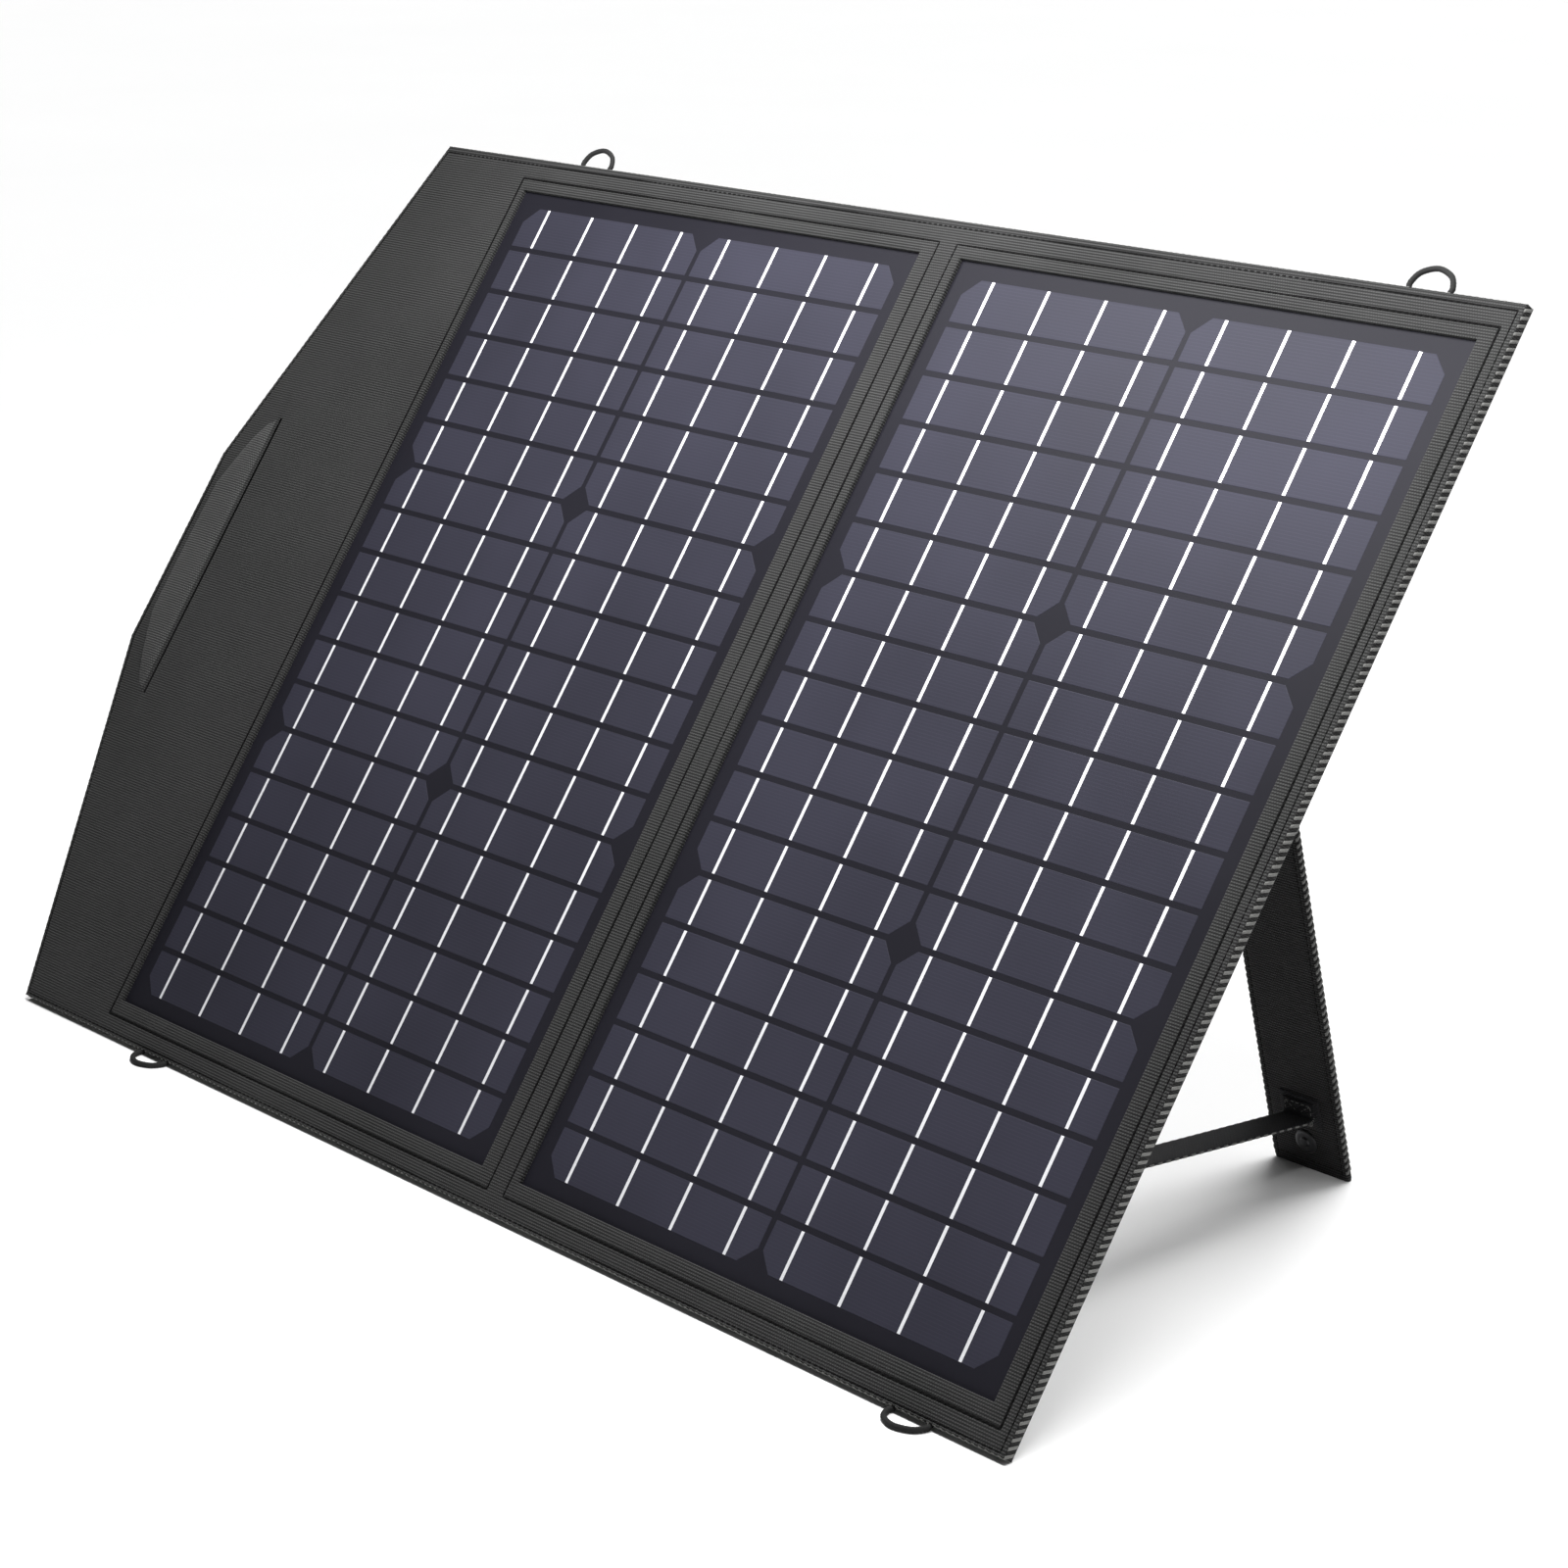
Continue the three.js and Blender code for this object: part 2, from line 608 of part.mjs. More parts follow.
function zipSlider() {
  const { y, length, halfWidth, lip, roomSide } = SLIDER;
  const [bottom, top] = [y - length / 2, y + length / 2];
  const inner = ZIP.chain / 2 + roomSide;
  const body = box(ZIP.x - halfWidth, ZIP.x + halfWidth, bottom, top, sliderFace, chainFace + lip - GAP);
  const room = box(ZIP.x - inner, ZIP.x + inner, bottom - 1, top + 1, chainFace - GAP, 0);
  const bail = box(
    ZIP.x - BAIL.halfX,
    ZIP.x + BAIL.halfX,
    y - BAIL.halfY,
    y + BAIL.halfY,
    sliderFace - BAIL.depth,
    sliderFace + 1,
  );
  const eye = box(
    ZIP.x - 5,
    ZIP.x + 5,
    y - BAIL.holeY,
    y + BAIL.holeY,
    pullAxisZ - BAIL.holeZ,
    pullAxisZ + BAIL.holeZ,
  );
  return cut(join(cut(body, room), bail), eye);
}

// pull space: its bar is on the x axis and it hangs down -y
function zipPull() {
  const { halfX, length, bar, windowX, windowY } = PULL;
  const plate = box(-halfX, halfX, -length, bar, -bar, bar);
  return cut(plate, box(-windowX, windowX, -windowY, -bar, -bar - 1, bar + 1));
}

function addPouch(wing, panel) {
  addMesh(wing, "pouch", pouch(), "fabric");
  addMesh(wing, "zip_chain", zipChain(), "zip");
  addMesh(panel, "zip_slider", zipSlider(), "zipMetal");
  const pull = addMesh(panel, "zip_pull", zipPull(), "zipMetal");
  pull.position.set(ZIP.x, SLIDER.y, pullAxisZ);
  pull.rotation.x = Math.PI / 2 - TILT; // hangs straight down
}

// ---- controller ----
// box space: x across and y along from the box's middle, z as in panel space
const circuitBack = CIRCUIT.front - CIRCUIT.thickness;
const boxFloor = BOX.front - BOX.wall;

function atPosts(make) {
  const made = [];
  for (const sx of [-1, 1])
    for (const sy of [-1, 1]) made.push(make().translate(sx * POST.x, sy * POST.y, 0));
  return made;
}

function socketHoles() {
  const out = BOX.length / 2 + 1;
  const inside = BOX.length / 2 - BOX.wall - 1;
  const usbTop = circuitBack - GAP;
  const usbHoles = USB.xs.map((x) => {
    const half = USB.width / 2 + GAP;
    return box(x - half, x + half, -out, -inside, usbTop - USB.height - GAP, usbTop + GAP);
  });
  const half = DC.side / 2 + GAP;
  const dcHole = box(
    DC.x - half,
    DC.x + half,
    -out,
    -inside,
    usbTop - DC.side - GAP,
    usbTop + GAP,
  );
  return [...usbHoles, dcHole];
}

function controllerHousing() {
  const [halfX, halfY] = [BOX.width / 2, BOX.length / 2];
  const shell = cut(
    box(-halfX, halfX, -halfY, halfY, BOX.mouth, BOX.front),
    box(-halfX + BOX.wall, halfX - BOX.wall, -halfY + BOX.wall, halfY - BOX.wall, BOX.mouth - 1, boxFloor),
    ...socketHoles(),
  );
  const posts = atPosts(() => cylinder(POST.radius, BOX.mouth, boxFloor + 0.5));
  const rails = [-1, 1].map((side) => {
    const x = side * CIRCUIT.railX;
    const half = CIRCUIT.railWidth / 2;
    return box(x - half, x + half, -30, 30, CIRCUIT.front + GAP, boxFloor + 0.5);
  });
  const holes = atPosts(() => cylinder(POST.hole, BOX.mouth - 1, BOX.mouth + POST.holeDepth));
  return cut(join(shell, ...posts, ...rails), ...holes);
}

function controllerLid() {
  const front = BOX.mouth - GAP;
  const plate = box(-BOX.width / 2, BOX.width / 2, -BOX.length / 2, BOX.length / 2, front - BOX.lid, front);
  const holes = atPosts(() => cylinder(POST.hole, front - BOX.lid - 1, front + 1));
  const headRoom = SCREW.head + GAP;
  const sinks = atPosts(() =>
    cylinder(headRoom, front - BOX.lid - 1, front - BOX.lid + SCREW.headDepth + GAP),
  );
  return cut(plate, ...holes, ...sinks);
}

function controllerCircuit() {
  const half = CIRCUIT.width / 2;
  const along = CIRCUIT.length / 2;
  const sheet = box(-half, half, -along, along, circuitBack, CIRCUIT.front);
  const chips = [
    box(-14, -2, 0, 12, circuitBack - 5, circuitBack + 0.5),
    box(6, 14, 4, 9, circuitBack - 1.6, circuitBack + 0.5),
    box(-20, -13, 20, 30, circuitBack - 2, circuitBack + 0.5),
    cylinder(4, circuitBack - 7.5, circuitBack + 0.5).translate(16, 22, 0),
    cylinder(4, circuitBack - 7.5, circuitBack + 0.5).translate(4, 24, 0),
  ];
  return join(sheet, ...chips);
}

function controllerScrew() {
  const head = BOX.mouth - GAP - BOX.lid;
  return turned(
    [
      [0, head],
      [SCREW.head, head],
      [SCREW.head, head + SCREW.headDepth],
      [SCREW.shank, head + SCREW.headDepth],
      [SCREW.shank, head + SCREW.length],
      [0, head + SCREW.length],
    ],
    16,
  );
}

function usbSocket(x) {
  const [half, mouth] = [USB.width / 2, -BOX.length / 2 + SOCKET_RECESS];
  const top = circuitBack - GAP;
  const bottom = top - USB.height;
  const shell = box(x - half, x + half, mouth, mouth + USB.length, bottom, top);
  const room = box(
    x - half + USB.wall,
    x + half - USB.wall,
    mouth - 1,
    mouth + USB.depth,
    bottom + USB.wall,
    top - USB.wall,
  );
  const tongue = box(
    x - half + 1.2,
    x + half - 1.2,
    mouth + 1,
    mouth + USB.depth + 1,
    top - USB.wall - 0.5 - USB.tongue,
    top - USB.wall - 0.5,
  );
  return join(cut(shell, room), tongue);
}

function dcSocket() {
  const [half, mouth] = [DC.side / 2, -BOX.length / 2 + SOCKET_RECESS];
  const top = circuitBack - GAP;
  const middle = top - half;
  const body = box(DC.x - half, DC.x + half, mouth, mouth + DC.length, top - DC.side, top);
  const alongY = (geometry) => geometry.rotateX(-Math.PI / 2).translate(DC.x, 0, middle);
  const bore = alongY(cylinder(DC.bore, mouth - 1, mouth + DC.boreDepth));
  const pin = alongY(cylinder(DC.pin, mouth + 1, mouth + DC.boreDepth + 1, 12));
  return join(cut(body, bore), pin);
}

function addController(wing) {
  const controller = new THREE.Group();
  controller.name = "controller";
  controller.position.set(BOX.x, BOX.y, 0);
  wing.add(controller);
  addMesh(controller, "controller_housing", controllerHousing(), "housing");
  addMesh(controller, "controller_lid", controllerLid(), "housing");
  addMesh(controller, "controller_circuit", controllerCircuit(), "circuit");
  USB.xs.forEach((x, i) => addMesh(controller, `usb_socket_${i + 1}`, usbSocket(x), "socket"));
  addMesh(controller, "dc_socket", dcSocket(), "housing");
  atPosts(controllerScrew).forEach((screw, i) =>
    addMesh(controller, `controller_screw_${i + 1}`, screw, "screw"),
  );
}

// ---- assembly ----
function assemble() {
  const panel = new THREE.Group();
  panel.name = "panel";
  panel.rotation.x = TILT;
  const slot = handleSlot();
  const left = addWing(panel, "left", -1, leftOutline(), LEFT_LOOP_X, LEAD.flapEnd, [slot]);
  addWing(panel, "right", 1, rightOutline(), RIGHT_LOOP_X, LEAD.wingEnd, []);
  const spine = box(-SPINE_HALF, SPINE_HALF, 0, HEIGHT, 0, SPINE_THICKNESS);
  addMesh(panel, "spine_band", spine, "fabric");
  addMesh(left, "flap_board", flapBoard(slot), "foam");
  addMesh(left, "grip_pad", gripPad(), "foam");
  addPouch(left, panel);
  addController(left);
  addLeg(panel, "left", -LEG.x);
  addLeg(panel, "right", LEG.x);
  return panel;
}

// the origin is under the middle of the whole part's box, on the floor
const part = new THREE.Group();
part.name = "solar_panel";
const assembled = assemble();
part.add(assembled);
part.updateMatrixWorld(true);
const bounds = new THREE.Box3().setFromObject(part, true);
const centre = bounds.getCenter(new THREE.Vector3());
assembled.position.set(-centre.x, -centre.y, -bounds.min.z);

export default part;
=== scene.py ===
"""Looks for the folding solar panel: fabric, laminate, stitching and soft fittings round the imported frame."""

import math

import bmesh
import bpy
from mathutils import Matrix, Vector


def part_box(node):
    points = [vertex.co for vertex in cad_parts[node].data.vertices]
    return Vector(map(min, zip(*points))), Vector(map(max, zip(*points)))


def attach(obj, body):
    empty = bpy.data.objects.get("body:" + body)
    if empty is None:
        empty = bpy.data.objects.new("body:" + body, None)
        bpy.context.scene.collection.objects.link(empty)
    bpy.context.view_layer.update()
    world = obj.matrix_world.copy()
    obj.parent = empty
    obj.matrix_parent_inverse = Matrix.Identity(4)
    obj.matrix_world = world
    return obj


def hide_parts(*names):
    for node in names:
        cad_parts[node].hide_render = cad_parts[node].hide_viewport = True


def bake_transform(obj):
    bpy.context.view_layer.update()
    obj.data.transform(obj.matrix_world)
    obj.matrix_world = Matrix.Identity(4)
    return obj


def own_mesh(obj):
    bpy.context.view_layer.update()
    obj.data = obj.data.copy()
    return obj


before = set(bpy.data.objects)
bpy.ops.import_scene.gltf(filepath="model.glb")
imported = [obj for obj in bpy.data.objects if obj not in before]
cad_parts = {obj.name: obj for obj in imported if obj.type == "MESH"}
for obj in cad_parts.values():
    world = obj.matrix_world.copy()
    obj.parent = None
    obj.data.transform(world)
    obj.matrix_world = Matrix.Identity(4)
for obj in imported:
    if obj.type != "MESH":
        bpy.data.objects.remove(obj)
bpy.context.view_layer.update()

# ---- the panel's own space: x across from the fold, y up from the bottom edge, z out of the front, in mm ----
MM = 0.001
TILT = math.radians(55.2)
LEG_OPEN = math.radians(49.7)
HEIGHT = 570.0
THICK = 6.0
UP = Vector((0, 0, 1))

spine_low, spine_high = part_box("spine_band")
tape_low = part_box("right_edge_tape")[0]
ORIGIN = Vector(((spine_low.x + spine_high.x) / 2, tape_low.y + THICK * MM * math.sin(TILT), 0))
PANEL = Matrix.Translation(ORIGIN) @ Matrix.Rotation(TILT, 4, "X") @ Matrix.Scale(MM, 4)

WING_EDGE = 7.15
RIGHT_EDGE = 370.0
FLAP_CORNER, FLAP_TIP, FLAP_HALF = 438.0, 507.0, 62.5
WIN_IN, WIN_OUT = 15.25, 351.25
WIN_LOW, WIN_HIGH = 20.5, 549.5
FILM_Z, FRONT_Z = 3.35, 6.0
SEAM_Z = FRONT_Z - 0.15

LEG_X = 237.0
HINGE = Vector((0, 450.0, -2.6))
HINGE_HEIGHT = HINGE.y * math.sin(TILT) + HINGE.z * math.cos(TILT)
LEG_LENGTH = HINGE_HEIGHT / math.sin(TILT + LEG_OPEN)
LEG_HALF = 25.0
SLOT_X, SLOT_HALF = -469.0, 93.0
SLOT_LIP = 0.9  # half the slit that shows between the cloth's lips


def leg_space(x):
    """The leg's own space: it runs down -y from its hinge, with z out of its outer face."""
    return PANEL @ Matrix.Translation((x, HINGE.y, HINGE.z)) @ Matrix.Rotation(LEG_OPEN, 4, "X")


def behind(x):
    """The panel's space, moved across to x."""
    return PANEL @ Matrix.Translation((x, 0, 0))


def foot_y(z):
    """Where the leg meets the ground, at a depth z through its thickness."""
    turn = TILT + LEG_OPEN
    return -(HINGE_HEIGHT + z * math.cos(turn)) / math.sin(turn)


# ---- materials ----
def opaque(value):
    """A colour with full alpha. A socket stays as it is."""
    return value if isinstance(value, bpy.types.NodeSocket) else (*value, 1)


class Shader:
    """One node material, with short calls for the nodes it is made of."""

    def __init__(self, name, roughness=0.8, metallic=0.0, **plain):
        self.material = bpy.data.materials.new(name)
        self.material.use_nodes = True
        self.tree = self.material.node_tree
        self.bsdf = self.tree.nodes["Principled BSDF"]
        self.bsdf.inputs["Roughness"].default_value = roughness
        self.bsdf.inputs["Metallic"].default_value = metallic
        for key, value in plain.items():
            self.bsdf.inputs[key.replace("_", " ")].default_value = value

    def node(self, kind, **settings):
        made = self.tree.nodes.new(kind)
        for key, value in settings.items():
            setattr(made, key, value)
        return made

    def put(self, target, value):
        if isinstance(value, bpy.types.NodeSocket):
            self.tree.links.new(value, target)
        else:
            target.default_value = value

    def maths(self, op, a, b=0.0, c=0.0):
        made = self.node("ShaderNodeMath", operation=op)
        for i, value in enumerate((a, b, c)):
            self.put(made.inputs[i], value)
        return made.outputs[0]

    def coords(self, space):
        """Metres across and up the panel: the piece's UV map, or its place turned back by the tilt."""
        if space == "uv":
            return self.node("ShaderNodeTexCoord").outputs["UV"]
        made = self.node("ShaderNodeVectorRotate", rotation_type="X_AXIS")
        self.put(made.inputs["Vector"], self.node("ShaderNodeTexCoord").outputs["Object"])
        made.inputs["Angle"].default_value = -TILT
        return made.outputs[0]

    def place(self):
        return self.node("ShaderNodeTexCoord").outputs["Object"]

    def noise(self, vector, scale, detail=2.0, rough=0.5):
        made = self.node("ShaderNodeTexNoise")
        self.put(made.inputs["Vector"], vector)
        made.inputs["Scale"].default_value = scale
        made.inputs["Detail"].default_value = detail
        made.inputs["Roughness"].default_value = rough
        return made.outputs[0]

    def mix(self, factor, a, b):
        made = self.node("ShaderNodeMix", data_type="RGBA")
        self.put(made.inputs[0], factor)
        for index, value in ((6, a), (7, b)):
            self.put(made.inputs[index], opaque(value))
        return made.outputs[2]

    def split(self, vector):
        parts = self.node("ShaderNodeSeparateXYZ")
        self.put(parts.inputs[0], vector)
        return parts.outputs[0], parts.outputs[1]

    def ranged(self, value, low, high, to_low=0.0, to_high=1.0):
        made = self.node("ShaderNodeMapRange")
        for i, v in enumerate((value, low, high, to_low, to_high)):
            self.put(made.inputs[i], v)
        return made.outputs[0]

    def bump(self, height, distance, strength=1.0):
        made = self.node("ShaderNodeBump")
        made.inputs["Distance"].default_value = distance
        made.inputs["Strength"].default_value = strength
        self.put(made.inputs["Height"], height)
        self.tree.links.new(made.outputs[0], self.bsdf.inputs["Normal"])

    def colour(self, value):
        self.put(self.bsdf.inputs["Base Color"], opaque(value))

    def rough(self, value):
        self.put(self.bsdf.inputs["Roughness"], value)

    def wave(self, value, pitch, shift=0.0):
        turned = self.maths("MULTIPLY_ADD", value, 2 * math.pi / pitch, shift)
        return self.maths("MULTIPLY_ADD", self.maths("COSINE", turned), 0.5, 0.5)

    def weave(self, vector, across, up):
        """Ribs along x, one every up metres, broken into knots every across metres, half a knot out in turn."""
        x, y = self.split(vector)
        row = self.maths("FLOOR", self.maths("DIVIDE", y, up))
        shifted = self.maths("MULTIPLY_ADD", row, across / 2, x)
        knots = self.wave(shifted, across)
        ribs = self.wave(y, up, math.pi)
        return self.maths("MULTIPLY", self.maths("POWER", ribs, 1.1), self.maths("MULTIPLY_ADD", knots, 0.55, 0.45))


WEAVE = 0.0015  # metres from rib to rib of the woven cloths
FINGER_PITCH = 0.0018
FINE_BUMP = 0.0004


def fabric(name, dark, light, across, up, space, depth=0.00025, wear=0.12):
    s = Shader(name, roughness=0.88, Sheen_Weight=0.04, Sheen_Roughness=0.5, Specular_IOR_Level=0.18)
    vector = s.coords(space)
    cloth = s.weave(vector, across, up)
    fibre = s.noise(vector, 2600, 3)
    worn = s.noise(s.place(), 9, 4, 0.6)
    base = s.mix(cloth, dark, light)
    faded = s.mix(s.ranged(worn, 0.35, 0.75, 0, wear), base, [min(1, 1.9 * v) for v in light])
    dusty = s.mix(s.ranged(fibre, 0.5, 0.8, 0, 0.2), faded, [1.2 * v for v in light])
    s.colour(dusty)
    s.rough(s.ranged(worn, 0.3, 0.7, 0.82, 0.94))
    s.bump(s.maths("MULTIPLY_ADD", fibre, 0.25, cloth), depth)
    return s.material


def laminate(name, colour, deep, fingers):
    s = Shader(name, roughness=0.42, Coat_Weight=0.02, Coat_Roughness=0.4, Specular_IOR_Level=0.06)
    vector = s.coords("uv")
    along = s.split(vector)[1]
    cloud = s.noise(s.place(), 6, 3, 0.55)
    grain = s.noise(vector, 900, 2)
    tone = s.mix(s.ranged(cloud, 0.3, 0.7), deep, colour)
    if fingers:
        lines = s.maths("POWER", s.wave(along, FINGER_PITCH), 14)
        tone = s.mix(s.maths("MULTIPLY", lines, 0.10), tone, [min(1, 2.6 * v) for v in colour])
    s.colour(tone)
    s.rough(s.ranged(cloud, 0.3, 0.7, 0.48, 0.58))
    ripple = s.noise(vector, 55, 2)
    s.bump(s.maths("MULTIPLY_ADD", grain, 0.15, ripple), 0.00012, 0.6)
    return s.material


def metal(name, colour, roughness, metallic, scratch=0.12):
    s = Shader(name, roughness=roughness, metallic=metallic)
    mark = s.noise(s.place(), 420, 4, 0.65)
    wide = s.noise(s.place(), 60, 2)
    s.colour(s.mix(s.ranged(mark, 0.5, 0.8, 0, scratch * 3), colour, [min(1, 1.8 * v + 0.03) for v in colour]))
    s.rough(s.ranged(wide, 0.3, 0.7, roughness * 0.8, roughness * 1.25))
    s.bump(mark, 0.00003, 0.5)
    return s.material


def moulded(name, colour, roughness=0.5):
    s = Shader(name, roughness=roughness)
    grain = s.noise(s.place(), 1500, 2)
    wide = s.noise(s.place(), 25, 3)
    s.colour(s.mix(s.ranged(wide, 0.3, 0.7), colour, [1.25 * v for v in colour]))
    s.rough(s.ranged(grain, 0.3, 0.7, roughness - 0.06, roughness + 0.08))
    s.bump(grain, 0.00004, 0.6)
    return s.material


def thread(name, colour):
    s = Shader(name, roughness=0.85, Specular_IOR_Level=0.1)
    ply = s.noise(s.place(), 1800, 2)
    s.colour(s.mix(ply, [0.7 * v for v in colour], [1.25 * v for v in colour]))
    s.bump(ply, 0.0001)
    return s.material


def circuit_board():
    s = Shader("circuit_board", roughness=0.45)
    cells = s.node("ShaderNodeTexVoronoi")
    s.put(cells.inputs["Vector"], s.place())
    cells.inputs["Scale"].default_value = 260
    s.colour(s.mix(s.ranged(cells.outputs["Distance"], 0.2, 0.5), (0.25, 0.3, 0.12), (0.01, 0.09, 0.035)))
    s.bump(cells.outputs["Distance"], 0.00005)
    return s.material


FRONT_DARK, FRONT_LIGHT = (0.0015, 0.0015, 0.0016), (0.052, 0.0525, 0.052)
BACK_DARK, BACK_LIGHT = (0.002, 0.002, 0.0021), (0.05, 0.0505, 0.05)
# LEG: the front cloth's weave set darker, as painted shade on the leg standing behind the panel.
LEG_DARK, LEG_LIGHT = (0.001, 0.001, 0.0011), (0.032, 0.032, 0.032)
# GRIP: the front cloth's weave made about twice as light, a painted highlight on the raised pad.
GRIP_DARK, GRIP_LIGHT = (0.003, 0.003, 0.003), (0.1, 0.101, 0.1)
WEB_DARK, WEB_LIGHT = (0.006, 0.006, 0.007), (0.022, 0.022, 0.024)
EDGE_DARK, EDGE_LIGHT = (0.006, 0.006, 0.006), (0.02, 0.02, 0.02)
M = {
    "front": fabric("front_fabric", FRONT_DARK, FRONT_LIGHT, WEAVE, WEAVE, "uv", FINE_BUMP),
    "back": fabric("back_fabric", BACK_DARK, BACK_LIGHT, WEAVE, WEAVE, "uv", FINE_BUMP),
    "grip": fabric("grip_fabric_painted_highlight", GRIP_DARK, GRIP_LIGHT, WEAVE, WEAVE, "uv", FINE_BUMP),
    "webbing": fabric("webbing", WEB_DARK, WEB_LIGHT, 0.0022, 0.0011, "uv", 0.00035, 0.06),
    "edge": fabric("edge_binding", EDGE_DARK, EDGE_LIGHT, 0.0012, 0.0012, "place"),
    "leg": fabric("leg_fabric_painted_shade", LEG_DARK, LEG_LIGHT, WEAVE, WEAVE, "uv", FINE_BUMP),
    "foam": moulded("foam", (0.06, 0.06, 0.06), 0.9),
    "cell": laminate("cell_silicon", (0.032, 0.0315, 0.046), (0.0235, 0.0232, 0.033), True),
    "film": laminate("laminate_margin", (0.0135, 0.013, 0.018), (0.0105, 0.0102, 0.014), False),
    "ribbon": metal("tinned_ribbon", (0.80, 0.80, 0.83), 0.42, 0.25, 0.05),
    # The dark thread's material also serves as painted shade, on the seam strips and inside the handle slot.
    "dark_thread_and_shade": thread("dark_thread_and_shade", (0.0022, 0.0022, 0.0022)),
    "light_thread": thread("light_thread", (0.15, 0.15, 0.145)),
    "cord": thread("braided_cord", (0.02, 0.02, 0.02)),
    "snap": metal("snap_metal", (0.035, 0.035, 0.037), 0.35, 0.85),
    "zip_metal": metal("zip_metal", (0.05, 0.05, 0.055), 0.35, 0.9),
    "zip_teeth": moulded("zip_teeth", (0.012, 0.012, 0.013), 0.4),
    "board": moulded("stiffener_board", (0.03, 0.03, 0.034), 0.6),
    "backsheet": moulded("backsheet", (0.04, 0.038, 0.05), 0.5),
    "lead": moulded("lead_sheath", (0.015, 0.015, 0.016), 0.7),
    "housing": moulded("housing_plastic", (0.02, 0.02, 0.022), 0.5),
    "circuit": circuit_board(),
    "bright": metal("bright_metal", (0.62, 0.62, 0.64), 0.3, 0.95),
}


# ---- mesh making ----
def make(name, points, faces, material, slot, space=PANEL, smooth=True):
    """A mesh from points in a space's own mm. Its UV map is those points in metres, seen square to each face."""
    mesh = bpy.data.meshes.new(name)
    world = [space @ Vector(p) for p in points]
    mesh.from_pydata(world, [], faces)
    mesh.materials.append(M[material])
    layer = mesh.uv_layers.new(name="metres").data
    for polygon in mesh.polygons:
        corners = [Vector(points[i]) for i in polygon.vertices]
        normal = (corners[1] - corners[0]).cross(corners[2] - corners[0])
        if len(corners) > 3 and normal.length < 1e-9:
            normal = (corners[2] - corners[0]).cross(corners[3] - corners[0])
        axis = max(range(3), key=lambda k: abs(normal[k]))
        for loop, corner in zip(polygon.loop_indices, corners):
            uv = {0: (corner.z, corner.y), 1: (corner.x, corner.z), 2: (corner.x, corner.y)}[axis]
            layer[loop].uv = (uv[0] * MM, uv[1] * MM)
    mesh.polygons.foreach_set("use_smooth", [smooth] * len(mesh.polygons))
    obj = bpy.data.objects.new(name, mesh)
    bpy.context.scene.collection.objects.link(obj)
    bm = bmesh.new()
    bm.from_mesh(mesh)
    bmesh.ops.remove_doubles(bm, verts=bm.verts, dist=1e-7)
    bmesh.ops.recalc_face_normals(bm, faces=bm.faces)
    bm.to_mesh(mesh)
    bm.free()
    return obj


def put_on(obj, body, node=None):
    """Rides a piece on a body, or bakes its place into its mesh without one, and shows it for the CAD node it stands
    for.
    """
    if body:
        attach(obj, body)
    else:
        fold_blend(obj)
    if node:
        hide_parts(node)
    return obj


def edge_angle(obj, degrees):
    """Keeps corners sharper than this crisp under smooth shading."""
    mesh = obj.data
    bm = bmesh.new()
    bm.from_mesh(mesh)
    for edge in bm.edges:
        edge.smooth = len(edge.link_faces) != 2 or edge.calc_face_angle(0) < math.radians(degrees)
    bm.to_mesh(mesh)
    bm.free()
    return obj


def grid_faces(rows, columns, skip=lambda i, j: False):
    return [
        (i * columns + j, i * columns + j + 1, (i + 1) * columns + j + 1, (i + 1) * columns + j)
        for i in range(rows - 1)
        for j in range(columns - 1)
        if not skip(i, j)
    ]


def boundary(rows, columns):
    """A grid's outer points, in order round it."""
    first = list(range(columns))
    right = [r * columns + columns - 1 for r in range(1, rows)]
    last = [(rows - 1) * columns + c for c in range(columns - 2, -1, -1)]
    left = [r * columns for r in range(rows - 2, 0, -1)]
    return first + right + last + left


def slab_faces(rows, columns):
    """Faces of a grid, of its other side in the points that follow it, and of the rim between the two."""
    count = rows * columns
    front = grid_faces(rows, columns)
    rim = boundary(rows, columns)
    edge = [(a, b, b + count, a + count) for a, b in zip(rim, rim[1:] + rim[:1])]
    return front + [tuple(i + count for i in f)[::-1] for f in front] + edge


def add_stack(points, faces, rings, floor=False):
    """Adds a small block made of rings with equal counts, capped at its last ring."""
    n, base = len(rings[0]), len(points)
    points += [p for ring in rings for p in ring]
    for r in range(len(rings) - 1):
        low, high = base + n * r, base + n * (r + 1)
        faces += [(low + k, low + (k + 1) % n, high + (k + 1) % n, high + k) for k in range(n)]
    faces.append(tuple(high + k for k in range(n)))
    if floor:
        faces.append(tuple(base + k for k in range(n))[::-1])


def spread(start, end, step):
    count = max(1, round(abs(end - start) / step))
    return [start + (end - start) * k / count for k in range(count + 1)]


def lines(stops, step):
    """Grid lines that pass through every stop, about a step apart between them."""
    made = [stops[0]]
    for a, b in zip(stops, stops[1:]):
        made += spread(a, b, step)[1:]
    return made


def loft(rings, closed_ends=True):
    """Points and faces of a tube through rings with equal counts."""
    n = len(rings[0])
    points = [p for ring in rings for p in ring]
    faces = [
        (r * n + k, r * n + (k + 1) % n, (r + 1) * n + (k + 1) % n, (r + 1) * n + k)
        for r in range(len(rings) - 1)
        for k in range(n)
    ]
    if closed_ends:
        faces += [tuple(range(n))[::-1], tuple((len(rings) - 1) * n + k for k in range(n))]
    return points, faces


def smooth_step(t):
    t = min(1.0, max(0.0, t))
    return t * t * (3 - 2 * t)


# ---- stitches ----
STITCH, STITCH_GAP, THREAD_R = 3.4, 0.6, 0.5
HEM_R, BACK_R, POUCH_R, FINE_R = 0.42, 0.36, 0.4, 0.28


